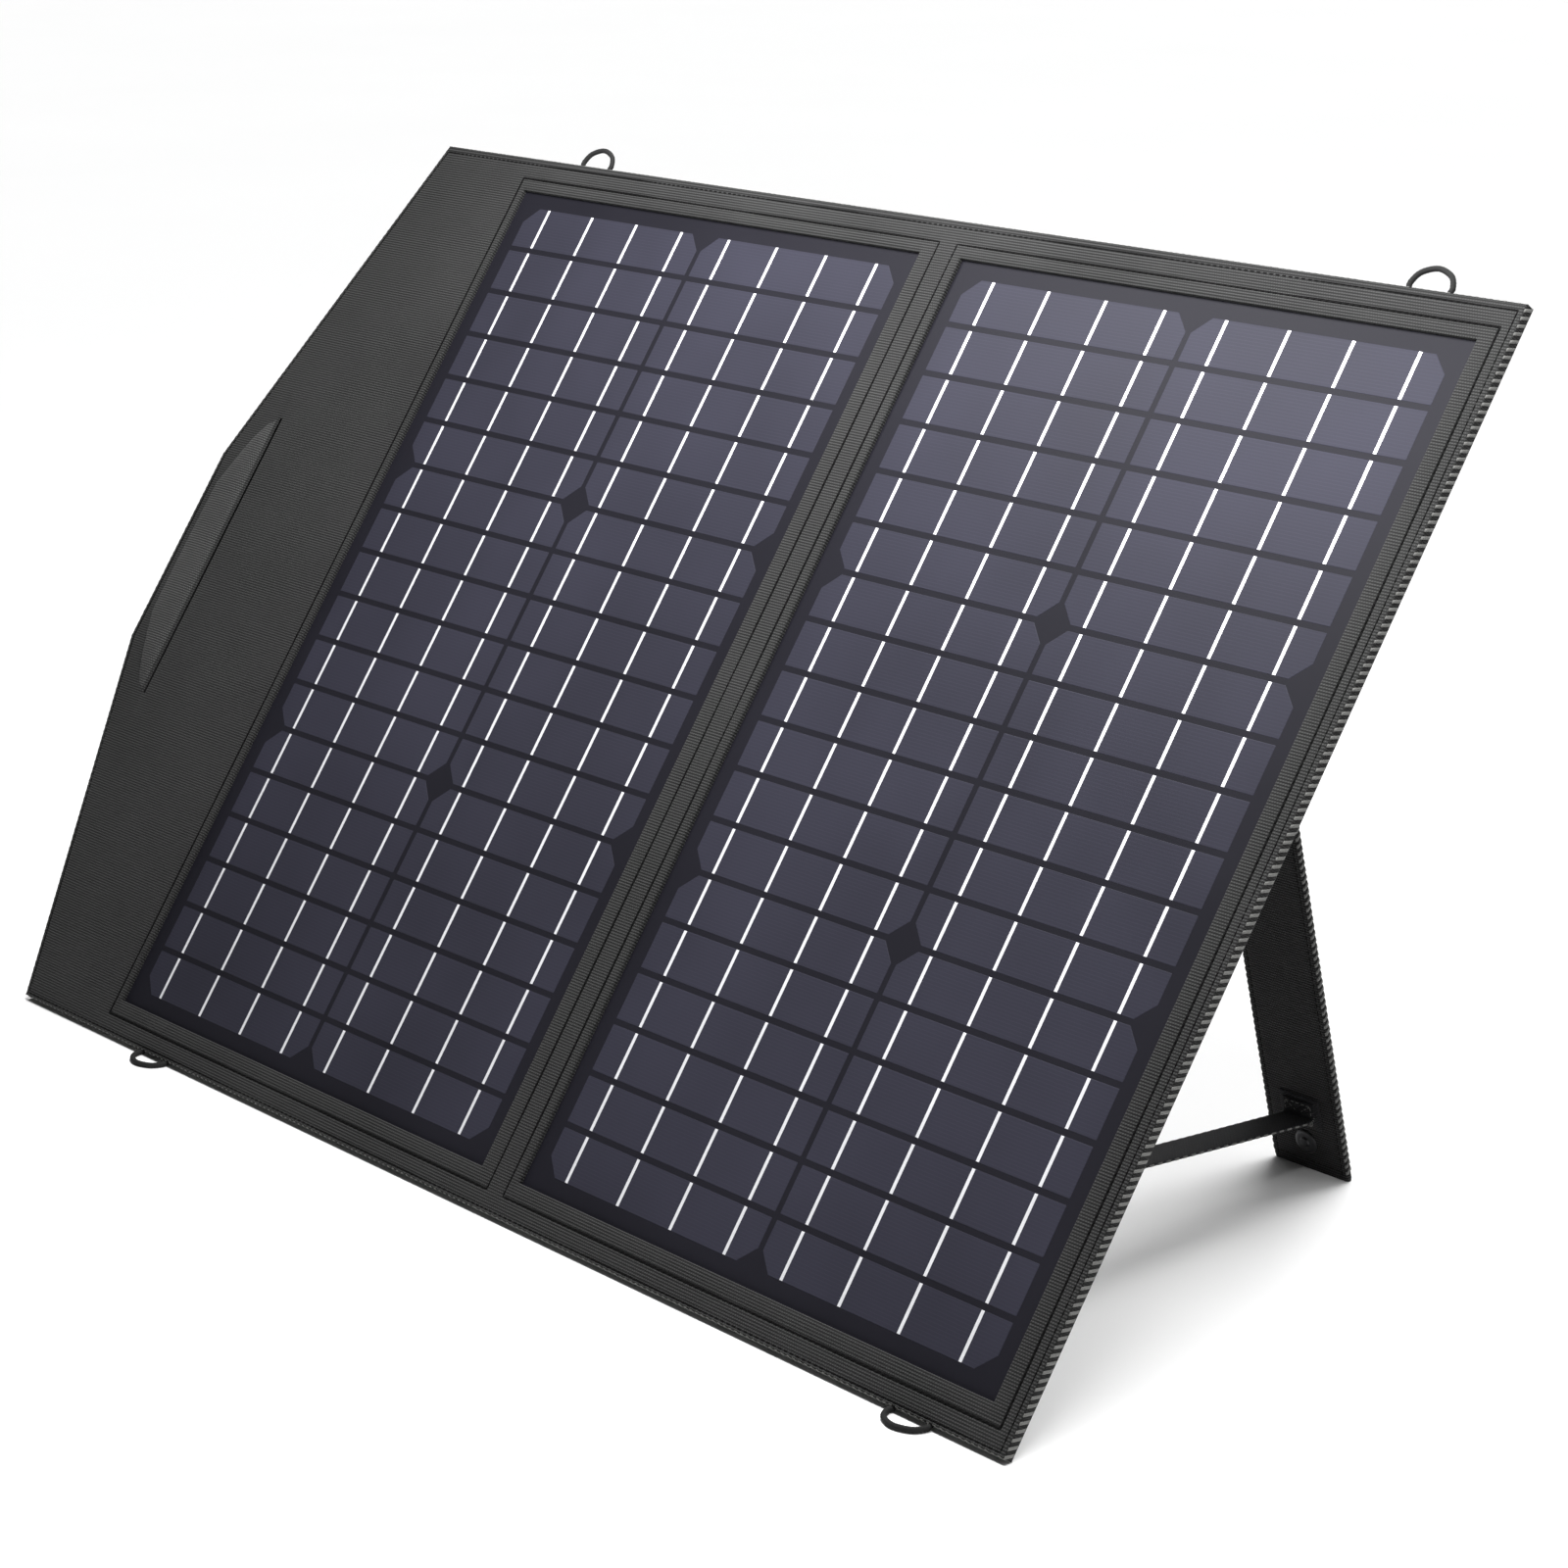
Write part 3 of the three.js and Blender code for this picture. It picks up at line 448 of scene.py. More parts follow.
def dashes(path, up, length=STITCH, gap=STITCH_GAP, radius=THREAD_R, closed=False):
    """Short spindles of thread laid along a polyline, flattened on to the surface whose normal is up."""
    points, faces = [], []
    route = [Vector(p) for p in path] + ([Vector(path[0])] if closed else [])
    for a, b in zip(route, route[1:]):
        run = b - a
        count = max(1, int(run.length / (length + gap)))
        along = run.normalized()
        side = along.cross(up).normalized()
        pitch = run.length / count
        for k in range(count):
            start = a + along * (pitch * k + gap / 2)
            end = a + along * (pitch * (k + 1) - gap / 2)
            base = len(points)
            points.append(start - up * radius * 0.6)
            for at in (0.22, 0.78):
                centre = start.lerp(end, at)
                for turn in range(6):
                    t = turn * math.pi / 3
                    points.append(centre + side * radius * math.cos(t) + up * radius * 0.8 * math.sin(t))
            points.append(end - up * radius * 0.6)
            for j in range(6):
                l = (j + 1) % 6
                faces.append((base, base + 1 + l, base + 1 + j))
                faces.append((base + 1 + j, base + 1 + l, base + 7 + l, base + 7 + j))
                faces.append((base + 13, base + 7 + j, base + 7 + l))
    return points, faces


def joined(runs):
    """One list of points and one of faces, from several."""
    points, faces = [], []
    for more_points, more_faces in runs:
        faces += [tuple(i + len(points) for i in face) for face in more_faces]
        points += more_points
    return points, faces


def stitches(name, runs, material, slot, body, space=PANEL):
    """Lines of stitches as one piece. Without a body their place is baked into the mesh."""
    points, faces = joined(runs)
    put_on(make(name, [tuple(p) for p in points], faces, material, slot, space), body)


def rectangle_path(x0, x1, y0, y1, z):
    return [(x0, y0, z), (x1, y0, z), (x1, y1, z), (x0, y1, z)]


# ---- wing outlines ----
def flap_edge(y):
    """The flap's outer edge, as x at a height y."""
    off = abs(y - HEIGHT / 2) - FLAP_HALF
    if off <= 0:
        return -FLAP_TIP
    return -FLAP_TIP + (FLAP_TIP - FLAP_CORNER) * off / (HEIGHT / 2 - FLAP_HALF)


def outline(side):
    """The free edge as an open chain, from the spine's top round to the spine's bottom."""
    if side > 0:
        return [(WING_EDGE, HEIGHT), (RIGHT_EDGE, HEIGHT), (RIGHT_EDGE, 0), (WING_EDGE, 0)]
    low, high = HEIGHT / 2 - FLAP_HALF, HEIGHT / 2 + FLAP_HALF
    return [
        (-WING_EDGE, HEIGHT),
        (-FLAP_CORNER, HEIGHT),
        (-FLAP_TIP, high),
        (-FLAP_TIP, low),
        (-FLAP_CORNER, 0),
        (-WING_EDGE, 0),
    ]


def offset_chain(chain, side, distance):
    """The chain moved outwards by a distance, mitred at its corners."""
    flat = [Vector(p) for p in chain]
    normals = []
    for a, b in zip(flat, flat[1:]):
        d = (b - a).normalized()
        normals.append(Vector((-d.y, d.x)) * side)
    moved = []
    for i, p in enumerate(flat):
        first, second = normals[max(0, i - 1)], normals[min(len(normals) - 1, i)]
        bisector = (first + second).normalized()
        moved.append(p + bisector * distance / bisector.dot(first))
    return moved


# the line of stitches round each window, and the hem's distance inside each free edge in turn
STITCH_IN = {-1: -4.2, 1: 9.0}
STITCH_SIDE = {-1: -356.2, 1: 361.0}
STITCH_LOW, STITCH_HIGH = 11.0, 556.7
HEM_LINE = 2.6
HEM_LOW, HEM_HIGH = 1.8, 566.1
BACK_HEM = 4.6
SEAM_SHADE_HALF, HEM_SHADE_HALF = 0.75, 0.55  # half the width of the painted shade strip under each line of stitches
HEMS = {-1: (3.9, HEM_LINE, HEM_LINE, HEM_LINE, 1.8), 1: (3.9, 3.5, 1.8)}


def hem_path(side):
    """The hem stitches' line, inside the outline by each edge's own distance, met exactly at the corners."""
    chain = [Vector(p) for p in outline(side)]
    normals = []
    for a, b in zip(chain, chain[1:]):
        d = (b - a).normalized()
        normals.append(Vector((d.y, -d.x)) * side)
    inset = HEMS[side]
    made = [chain[0] + normals[0] * inset[0]]
    for i in range(1, len(chain) - 1):
        (n1, n2), (d1, d2) = normals[i - 1 : i + 1], inset[i - 1 : i + 1]
        det = n1.x * n2.y - n1.y * n2.x
        made.append(chain[i] + Vector(((d1 * n2.y - d2 * n1.y) / det, (d2 * n1.x - d1 * n2.x) / det)))
    return made + [chain[-1] + normals[-1] * inset[-1]]


def distance_to_chain(x, y, chain):
    p = Vector((x, y))
    best = 1e9
    for a, b in zip(chain, chain[1:]):
        a, b = Vector(a), Vector(b)
        t = min(1, max(0, (p - a).dot(b - a) / (b - a).length_squared))
        best = min(best, (p - a.lerp(b, t)).length)
    return best


def dip(distance, depth, width):
    return depth * math.exp(-((distance / width) ** 2))


def rectangle_distance(x, y, x0, x1, y0, y1):
    """How far a point is from a rectangle's outline."""
    dx, dy = max(x0 - x, 0, x - x1), max(y0 - y, 0, y - y1)
    if dx or dy:
        return math.hypot(dx, dy)
    return min(x - x0, x1 - x, y - y0, y1 - y)


def front_height(x, y, side, chain, hem_line):
    """The front cloth's height: dipped along its stitch lines and rolled over at the hem and the window."""
    win = sorted((side * WIN_IN, side * WIN_OUT))
    box = sorted((STITCH_IN[side], STITCH_SIDE[side]))
    stitch = rectangle_distance(x, y, *box, STITCH_LOW, STITCH_HIGH)
    window = rectangle_distance(x, y, *win, WIN_LOW, WIN_HIGH)
    edge = distance_to_chain(x, y, chain)
    z = FRONT_Z - dip(stitch, 0.28, 0.9) - dip(distance_to_chain(x, y, hem_line), 0.2, 0.7)
    z -= 0.9 * max(0, 1 - edge / 0.9) ** 2
    z -= 0.7 * max(0, 1 - window / 1.1) ** 2
    return z + 0.05 * ripple(x, y)


def ripple(x, y):
    return math.sin(x * 0.031 + 1.3) * math.cos(y * 0.023) + 0.5 * math.sin(x * 0.11 + y * 0.07)


# ---- front cloth ----
def near(value, stops, offsets):
    return sorted({round(s + o, 4) for s in stops for o in offsets} | set(value))


FINE = (-1.1, -0.5, 0, 0.5, 1.1)  # grid lines about a stitch line
WINDOW_ROLL = (0, 0.5, 1.1)  # grid lines outside a window's edge
EDGE_ROLL = (0.1, 0.45, 0.9)  # grid lines inside a free edge


def add_wall(points, faces, a, b):
    """Turns the cloth down to the laminate along a window's side, from a to b."""
    base = len(points)
    for x, y in (a, b):
        points += [(x, y, FRONT_Z - 0.7), (x, y, FRONT_Z - 1.6), (x, y, FILM_Z)]
    faces += [(base, base + 3, base + 4, base + 1), (base + 1, base + 4, base + 5, base + 2)]


def cloth_patch(name, xs, ys, side, wall):
    """One cut of the front cloth, which turns down to the laminate along a wall."""
    chain, hem_line = outline(side), hem_path(side)
    points = [(x, y, front_height(x, y, side, chain, hem_line)) for y in ys for x in xs]
    faces = grid_faces(len(ys), len(xs))
    add_wall(points, faces, *wall)
    return put_on(make(name, points, faces, "front", "fabric"), "left_wing" if side < 0 else "right_wing")


def cross_bands(side, prefix):
    """The strips of front cloth above and below a window."""
    ys = front_rows()
    near_lines = [side * (WIN_IN + d) for d in WINDOW_ROLL] + [side * (WIN_OUT - d) for d in WINDOW_ROLL]
    xs = sorted({*near_lines, *(side * x for x in spread(WIN_IN, WIN_OUT, 24))})
    for place, rows, edge in (
        ("top", [y for y in ys if y >= WIN_HIGH], WIN_HIGH),
        ("bottom", [y for y in ys if y <= WIN_LOW], WIN_LOW),
    ):
        wall = ((side * WIN_IN, edge), (side * WIN_OUT, edge))
        band = cloth_patch(f"{prefix}_{place}_cloth", xs, rows, side, wall)


def right_front():
    xs = near([WIN_OUT, RIGHT_EDGE - 0.1], (WIN_OUT,), (*WINDOW_ROLL, 4))
    xs = near(xs, (STITCH_SIDE[1], RIGHT_EDGE - HEMS[1][1]), FINE)
    xs = near(xs, (RIGHT_EDGE,), (-0.9, -0.45))
    obj = cloth_patch("right_edge_cloth", xs, front_rows(), 1, ((WIN_OUT, WIN_LOW), (WIN_OUT, WIN_HIGH)))
    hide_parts("right_front_frame")
    cross_bands(1, "right")


def middle_cloth():
    """The strip of front cloth that crosses the fold, from one window to the other."""
    xs = {side * (WIN_IN - d) for side in (-1, 1) for d in WINDOW_ROLL} | set(MIDDLE_LINES)
    xs = sorted(xs | {at + d for at in STITCH_IN.values() for d in FINE})
    ys = front_rows(tuple(spread(0.1, HEIGHT - 0.1, 12)))
    ends, hems = (
        [(-FAR, high), (FAR, high), (FAR, low), (-FAR, low)] for low, high in ((0, HEIGHT), (HEM_LOW, HEM_HIGH))
    )

    def height(x, y):
        return min(front_height(x, y, side, ends, hems) for side in (-1, 1))

    points = [(x, y, height(x, y)) for y in ys for x in xs]
    faces = grid_faces(len(ys), len(xs))
    for x in (-WIN_IN, WIN_IN):
        add_wall(points, faces, (x, WIN_LOW), (x, WIN_HIGH))
    obj = put_on(make("middle_front_cloth", points, faces, "front", "fabric"), None, "spine_band")


def middle_stitches():
    """The windows' inner stitch lines and the hems between them."""
    runs, points, faces = [], [], []
    for side, at in STITCH_IN.items():
        path = [(at, y, SEAM_Z) for y in spread(STITCH_HIGH, STITCH_LOW, 20)]
        path = [(side * WIN_IN, STITCH_HIGH, SEAM_Z), *path, (side * WIN_IN, STITCH_LOW, SEAM_Z)]
        runs.append(dashes(path, UP))
        seam_shade_strip(points, faces, path, SEAM_SHADE_HALF)
    for y in (HEM_LOW, HEM_HIGH):
        path = [(x, y, SEAM_Z) for x in spread(-WING_EDGE, WING_EDGE, 3.6)]
        runs.append(dashes(path, UP, 3.0, STITCH_GAP, HEM_R))
        seam_shade_strip(points, faces, path, HEM_SHADE_HALF)
    stitches("middle_stitches", runs, "dark_thread_and_shade", "fabric", None)
    # A dark strip under each of these lines: painted shade in the stitch grooves.
    fold_blend(make("middle_seam_painted_shade", points, faces, "dark_thread_and_shade", "fabric"))


MIDDLE_LINES = (-10, -7, -1.5, 0.5, 3, 5.5, 7, 11.5)
FAR = 4000


def fold_blend(obj):
    """Bakes a piece's place into its mesh."""
    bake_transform(obj)


def front_rows(extra=()):
    rows = near(spread(0.1, HEIGHT - 0.1, 24), (STITCH_LOW, STITCH_HIGH, HEM_LOW, HEM_HIGH), FINE)
    rows = near(rows, (WIN_LOW,), [-d for d in WINDOW_ROLL])
    rows = near(rows, (WIN_HIGH,), WINDOW_ROLL)
    rows = near(rows, (0,), EDGE_ROLL)
    rows = near(rows, (HEIGHT,), [-d for d in EDGE_ROLL])
    return [y for y in near(rows, extra, (0,)) if 0.1 <= y <= HEIGHT - 0.1]


SLOT_ROWS = (HEIGHT / 2 - SLOT_HALF, HEIGHT / 2 + SLOT_HALF)
FLAP_ROWS = (HEIGHT / 2 - FLAP_HALF, HEIGHT / 2 + FLAP_HALF)
SLOT_SHARE = 8  # the slot's place among the flap's grid lines


def flap_columns(y):
    """x from the window's left stitch line to the flap's edge, with lines on the handle slot."""
    edge = flap_edge(y)
    fixed = [-362, -380, -400, -420, -440]
    fixed += [SLOT_X + d for d in (14, 5, 2.4, SLOT_LIP, -SLOT_LIP, -2.4, -5)]
    hem = [edge + 5, *(edge + HEM_LINE + d for d in (1.1, 0.5, 0, -0.5)), edge + 0.9, edge + 0.45, edge + 0.1]
    limit = edge + 9
    if fixed[-1] < limit:  # narrow rows near the corners: squeeze the slot's lines together
        start, squeeze = fixed[0], (limit - fixed[0]) / (fixed[-1] - fixed[0])
        fixed = [start + (x - start) * squeeze for x in fixed]
    last = fixed[-1]
    return fixed + [last + (hem[0] - last) * k / 4 for k in (1, 2, 3)] + hem


def left_front():
    """The cloth from the left window out over the flap, with the handle slot's slit."""
    chain, hem_line = outline(-1), hem_path(-1)
    ys = front_rows((*SLOT_ROWS, *FLAP_ROWS))
    stitch = STITCH_SIDE[-1]
    inner = [-WIN_OUT - d for d in WINDOW_ROLL] + [stitch + d for d in reversed(FINE)]
    rows = [inner + flap_columns(y) for y in ys]
    slot_column = len(inner) + SLOT_SHARE

    def height(x, y):
        z = front_height(x, y, -1, chain, hem_line)
        if SLOT_ROWS[0] - 1 <= y <= SLOT_ROWS[1] + 1:
            z -= 0.8 * math.exp(-((max(0, abs(x - SLOT_X) - SLOT_LIP) / 1.3) ** 2))
        return z

    def hole(i, j):
        return SLOT_ROWS[0] <= (ys[i] + ys[i + 1]) / 2 <= SLOT_ROWS[1] and j == slot_column

    points = [(x, y, height(x, y)) for y, row in zip(ys, rows) for x in row]
    faces = grid_faces(len(ys), len(rows[0]), hole)
    add_wall(points, faces, (-WIN_OUT, WIN_LOW), (-WIN_OUT, WIN_HIGH))
    slot_painted_shade()
    obj = put_on(make("flap_front_cloth", points, faces, "front", "fabric"), "left_wing", "left_front_frame")
    cross_bands(-1, "left")


def slot_painted_shade():
    """The handle slot's inside walls, from the surface down through the flap, made near black as painted shade."""
    points = []
    for x, y in (
        (SLOT_X + SLOT_LIP, SLOT_ROWS[0]),
        (SLOT_X + SLOT_LIP, SLOT_ROWS[1]),
        (SLOT_X - SLOT_LIP, SLOT_ROWS[1]),
        (SLOT_X - SLOT_LIP, SLOT_ROWS[0]),
    ):
        points += [(x, y, FRONT_Z - 0.8), (x, y, 0.2)]
    faces = [(2 * k, 2 * (k + 1) % 8, 2 * (k + 1) % 8 + 1, 2 * k + 1) for k in range(4)]
    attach(make("slot_painted_shade", points, faces, "dark_thread_and_shade", "fabric"), "left_wing")


# ---- back cloth ----
OVER_LEG = 330  # past the leg, where the back's grid lines start to follow the edge
BACK_SLOT_SHARE = 10  # the slot's place among the back's grid lines


def back_cloth(side, prefix):
    chain = outline(side)
    ys = near(spread(0.35, HEIGHT - 0.35, 30), (BACK_HEM, HEIGHT - BACK_HEM), FINE)
    ys = near(ys, (*SLOT_ROWS, *FLAP_ROWS), (0,))
    rows = []
    for y in ys:
        edge = RIGHT_EDGE if side > 0 else -flap_edge(y)
        stops = [WING_EDGE, 60, 120, 180, LEG_X - 30, LEG_X + 30, OVER_LEG]
        if side > 0:
            stops.append(edge - 14)
        else:
            scale = min(1.0, (edge - 9 - OVER_LEG) / (-SLOT_X + 5 - OVER_LEG))
            slot = (380, 420, *(d - SLOT_X for d in (-5, -SLOT_LIP, SLOT_LIP, 5)))
            stops += [OVER_LEG + (x - OVER_LEG) * scale for x in slot]
        stops += [edge - d for d in (6, 5.1, BACK_HEM, 4.1, 3, 0.9, 0.3)]
        rows.append([side * x for x in stops])

    def height(x, y):
        hem = distance_to_chain(x, y, chain)
        z = dip(hem - BACK_HEM, 0.22, 0.7) + 0.8 * max(0, 1 - hem / 1.2) ** 2
        return max(0.0, z + 0.03 * (1 + ripple(x, y)))

    def hole(i, j):
        return side < 0 and abs((ys[i] + ys[i + 1]) / 2 - HEIGHT / 2) < SLOT_HALF and j == BACK_SLOT_SHARE

    points = [(x, y, height(x, y)) for y, row in zip(ys, rows) for x in row]
    obj = make(f"{prefix}_back_cloth", points, grid_faces(len(ys), len(rows[0]), hole), "back", "fabric")
    put_on(obj, f"{prefix}_wing", f"{prefix}_back_cover")


# ---- edge binding and its overlock thread ----
BINDING = [(-0.9, 5.6), (-0.5, 5.92), (-0.18, 5.8), (0, 5.35), (0, 0.55), (-0.12, 0.2), (-0.45, 0.06), (-0.9, 0.3)]


def edge_binding(side, prefix):
    chain = outline(side)
    offsets = {out: offset_chain(chain, side, out) for out, _ in BINDING}
    points, faces = loft([[(*offsets[out][i], z) for out, z in BINDING] for i in range(len(chain))])
    obj = edge_angle(make(f"{prefix}_edge_binding", points, faces, "edge", "tape"), 50)
    put_on(obj, f"{prefix}_wing", f"{prefix}_edge_tape")
    thread_bars(f"{prefix}_overlock", chain, side, f"{prefix}_wing")


BAR_PITCH, BAR_HALF, BAR_LEAN = 4.0, 0.85, 1.5


def thread_bars(name, chain, side, body, levels=(0.45, 1.2, 4.9, 5.85), tuck=0.0, space=PANEL):
    """Slanted bars of thread up the side of the edge, as an overlock machine leaves them."""
    points, faces = [], []
    sections = list(zip(levels, (-1, -0.6, 0.6, 1), (-tuck, 0.28, 0.28, -tuck)))
    for a, b in zip(chain, chain[1:]):
        a, b = Vector(a), Vector(b)
        run = b - a
        along = run.normalized()
        out = Vector((-along.y, along.x)) * side
        count = int(run.length / BAR_PITCH)
        for k in range(count):
            middle = a + along * (run.length * (k + 0.5) / count)
            base = len(points)
            for z, lean, proud in sections:
                for w, lift in ((-BAR_HALF, 0.0), (0, 0.12), (BAR_HALF, 0.0)):
                    lift = lift if proud > 0 else -0.05
                    p = middle + along * (BAR_LEAN * lean + w) + out * (proud + lift)
                    points.append((p.x, p.y, z))
            faces += [tuple(base + q for q in face) for face in grid_faces(4, 3)]
            rim = [base + q for q in (0, 1, 2, 5, 8, 11, 10, 9, 6, 3)]
            inner = len(points)
            for index in rim:  # closes the bar against the binding
                p = Vector(points[index][:2]) - out * 0.4
                points.append((p.x, p.y, points[index][2]))
            for q in range(len(rim)):
                n = (q + 1) % len(rim)
                faces.append((rim[q], rim[n], inner + n, inner + q))
            faces.append(tuple(inner + q for q in range(len(rim)))[::-1])
    put_on(make(name, points, faces, "light_thread", "tape", space), body)


# ---- wing stitching ----
def seam_shade_strip(points, faces, path, half):
    """Painted shade in the groove under a line of stitches: a narrow dark strip, mitred at the path's corners."""
    route = [Vector((p[0], p[1])) for p in path]
    base, last = len(points), len(route) - 1
    for i, p in enumerate(route):
        before = route[i - 1] if i else p * 2 - route[1]
        after = route[i + 1] if i < last else p * 2 - route[i - 1]
        first, second = (p - before).normalized(), (after - p).normalized()
        n1, n2 = Vector((-first.y, first.x)), Vector((-second.y, second.x))
        out = (n1 + n2).normalized()
        out = out / out.dot(n1)
        points += [(*(p - out * half), path[i][2]), (*(p + out * half), path[i][2])]
    faces += [(base + 2 * i, base + 2 * i + 1, base + 2 * i + 3, base + 2 * i + 2) for i in range(last)]


def wing_stitches(side, prefix):
    inner, outer = side * WIN_IN, STITCH_SIDE[side]
    window = ((inner, STITCH_HIGH), (outer, STITCH_HIGH), (outer, STITCH_LOW), (inner, STITCH_LOW))
    window = [(*p, SEAM_Z) for p in window]
    hem = [(*p, SEAM_Z) for p in hem_path(side)]
    back = [(*p, 0.12) for p in offset_chain(outline(side), side, -BACK_HEM)]
    runs = [dashes(window, UP), dashes(hem, UP, radius=HEM_R), dashes(back, -UP, radius=BACK_R)]
    stitches(f"{prefix}_wing_stitches", runs, "dark_thread_and_shade", "fabric", f"{prefix}_wing")
    # A dark strip under the window and hem stitches: painted shade in their grooves.
    points, faces = [], []
    seam_shade_strip(points, faces, window, SEAM_SHADE_HALF)
    seam_shade_strip(points, faces, hem, HEM_SHADE_HALF)
    put_on(make(f"{prefix}_seam_painted_shade", points, faces, "dark_thread_and_shade", "fabric"), f"{prefix}_wing")


# ---- laminate ----
STRIP_LENGTH, STRIP_WIDTH, COLUMN_GAP, ROW_GAP = 156.0, 25.2, 3.6, 3.3
CORNER, PLAIN_CORNER = 9.5, 0.35
ROWS, WAFER_ROWS = 18, 6
RIBBONS, RIBBON_PITCH = 4, 39.7
FILM_LAP = 6.5  # how far the film runs in under the cloth
PITCH = STRIP_WIDTH + ROW_GAP
STRING = ROWS * PITCH - ROW_GAP
STRING_TOP = (WIN_LOW + WIN_HIGH) / 2 + STRING / 2


def strip_outline(x, y, row, shrink):
    """A cell strip, with the wafer's corner cuts on its first and last strips."""
    hx, hy = STRIP_LENGTH / 2 - shrink, STRIP_WIDTH / 2 - shrink
    top = CORNER if row % WAFER_ROWS == 0 else PLAIN_CORNER
    bottom = CORNER if row % WAFER_ROWS == WAFER_ROWS - 1 else PLAIN_CORNER
    return [
        (x - hx + bottom, y - hy),
        (x + hx - bottom, y - hy),
        (x + hx, y - hy + bottom),
        (x + hx, y + hy - top),
        (x + hx - top, y + hy),
        (x - hx + top, y + hy),
        (x - hx, y + hy - top),
        (x - hx, y - hy + bottom),
    ]


def strips(side):
    for column in range(2):
        x = side * (WIN_IN + WIN_OUT) / 2 + (column - 0.5) * (STRIP_LENGTH + COLUMN_GAP)
        for row in range(ROWS):
            yield x, STRING_TOP - STRIP_WIDTH / 2 - row * PITCH, row


def laminate_pieces(side, prefix):
    body = f"{prefix}_wing"
    win = sorted((side * WIN_IN, side * WIN_OUT))
    xs = spread(win[0] - FILM_LAP, win[1] + FILM_LAP, 12)
    ys = spread(WIN_LOW - FILM_LAP, WIN_HIGH + FILM_LAP, 12)
    points = [(x, y, FILM_Z + 0.02 * ripple(2 * x, 2 * y)) for y in ys for x in xs]
    film = make(f"{prefix}_film_sheet", points, grid_faces(len(ys), len(xs)), "film", "film")
    put_on(film, body, f"{prefix}_film")

    points, faces = [], []
    for x, y, row in strips(side):
        levels = ((-0.1, -0.12), (0.06, 0.0), (0.12, 0.18))
        add_stack(points, faces, [[(*p, FILM_Z + z) for p in strip_outline(x, y, row, by)] for z, by in levels])
    cells = make(f"{prefix}_cell_strips", points, faces, "cell", "silicon", smooth=False)
    put_on(cells, body, f"{prefix}_cells")

    points, faces = [], []
    for x, y, row in strips(side):
        for k in range(RIBBONS):
            at = x + (k - (RIBBONS - 1) / 2) * RIBBON_PITCH
            levels = ((0.1, 1.02, 12.5), (0.17, 0.97, 12.45), (0.2, 0.8, 12.3))
            rings = [rectangle_path(at - w, at + w, y - end, y + end, FILM_Z + z) for z, w, end in levels]
            add_stack(points, faces, rings)
    ribbons = make(f"{prefix}_ribbon_runs", points, faces, "ribbon", "ribbon", smooth=False)
    put_on(ribbons, body, f"{prefix}_ribbons")


# ---- spine ----
def spine_back():
    """The back cloth that crosses the fold, and the bound edges at its two ends."""
    profile = [(-7.0, 0.3), (-6.6, 0.1), (-6.0, 0.02), (-4, 0.0), (-2, 0.0), (0, 0.05)]
    profile += [(-x, z) for x, z in profile[-2::-1]]
    ys = spread(0.35, HEIGHT - 0.35, 12)
    points = [(x, y, z) for y in ys for x, z in profile]
    obj = make("spine_back_cloth", points, grid_faces(len(ys), len(profile)), "back", "fabric")
    fold_blend(obj)
    for place, y, out in (("top", HEIGHT, 1), ("bottom", 0, -1)):
        points, faces = loft([[(x, y + out * o, z) for o, z in BINDING] for x in spread(-WING_EDGE, WING_EDGE, 1.8)])
        fold_blend(make(f"spine_{place}_binding", points, faces, "edge", "tape"))
        thread_bars(f"spine_{place}_overlock", [(-6.6 * out, y), (6.6 * out, y)], 1, None)


# ---- soft slabs: patches and tabs ----
def soft_slab(name, x0, x1, y0, y1, z_near, z_far, material, slot, space, step=3.0):
    """A sewn patch with rounded edges: z_near lies on what it is sewn to, z_far is its outer face."""
    xs, ys = lines([x0, x0 + 0.5, x1 - 0.5, x1], step), lines([y0, y0 + 0.5, y1 - 0.5, y1], step)
    thick = z_far - z_near

    def height(x, y):
        edge = min(x - x0, x1 - x, y - y0, y1 - y)
        puff = 0.72 + 0.28 * smooth_step(edge / 0.5)
        seam = 1 - 0.18 * math.exp(-(((edge - 2.0) / 0.7) ** 2))
        return z_near + thick * puff * seam

    outer = [(x, y, height(x, y)) for y in ys for x in xs]
    inner = [(x, y, z_near) for y in ys for x in xs]
    return make(name, outer + inner, slab_faces(len(ys), len(xs)), material, slot, space)


def box_and_cross(x0, x1, y0, y1, z, up):
    """A sewn box with a cross in it."""
    box = dashes(rectangle_path(x0, x1, y0, y1, z), up, 2.2, 0.7, FINE_R, closed=True)
    corners = (((x0, y0, z), (x1, y1, z)), ((x0, y1, z), (x1, y0, z)))
    return [box, *(dashes(pair, up, 2.2, 0.7, FINE_R) for pair in corners)]


# ---- legs ----
def leg_section(y, half_x, half_z, soft):
    """A flat tube's cross-section: straight faces, round edges and a channel along each stitch line."""
    steps = [half_x - d for d in (1.2, SEAM_IN - 0.6, SEAM_IN, SEAM_IN + 0.6, 7)] + [8]
    ring = []
    for x in [-x for x in steps] + [0] + steps[::-1]:
        seam = dip(abs(x) - (half_x - SEAM_IN), 0.3, 0.5)
        ring.append((x, half_z + soft * 0.18 * math.cos(x / half_x * math.pi / 2) - seam))
    ring += [(half_x - 0.35, half_z * 0.7), (half_x, 0), (half_x - 0.35, -half_z * 0.7)]
    return [(x, y, z) for x, z in ring + [(-x, -z) for x, z in ring]]


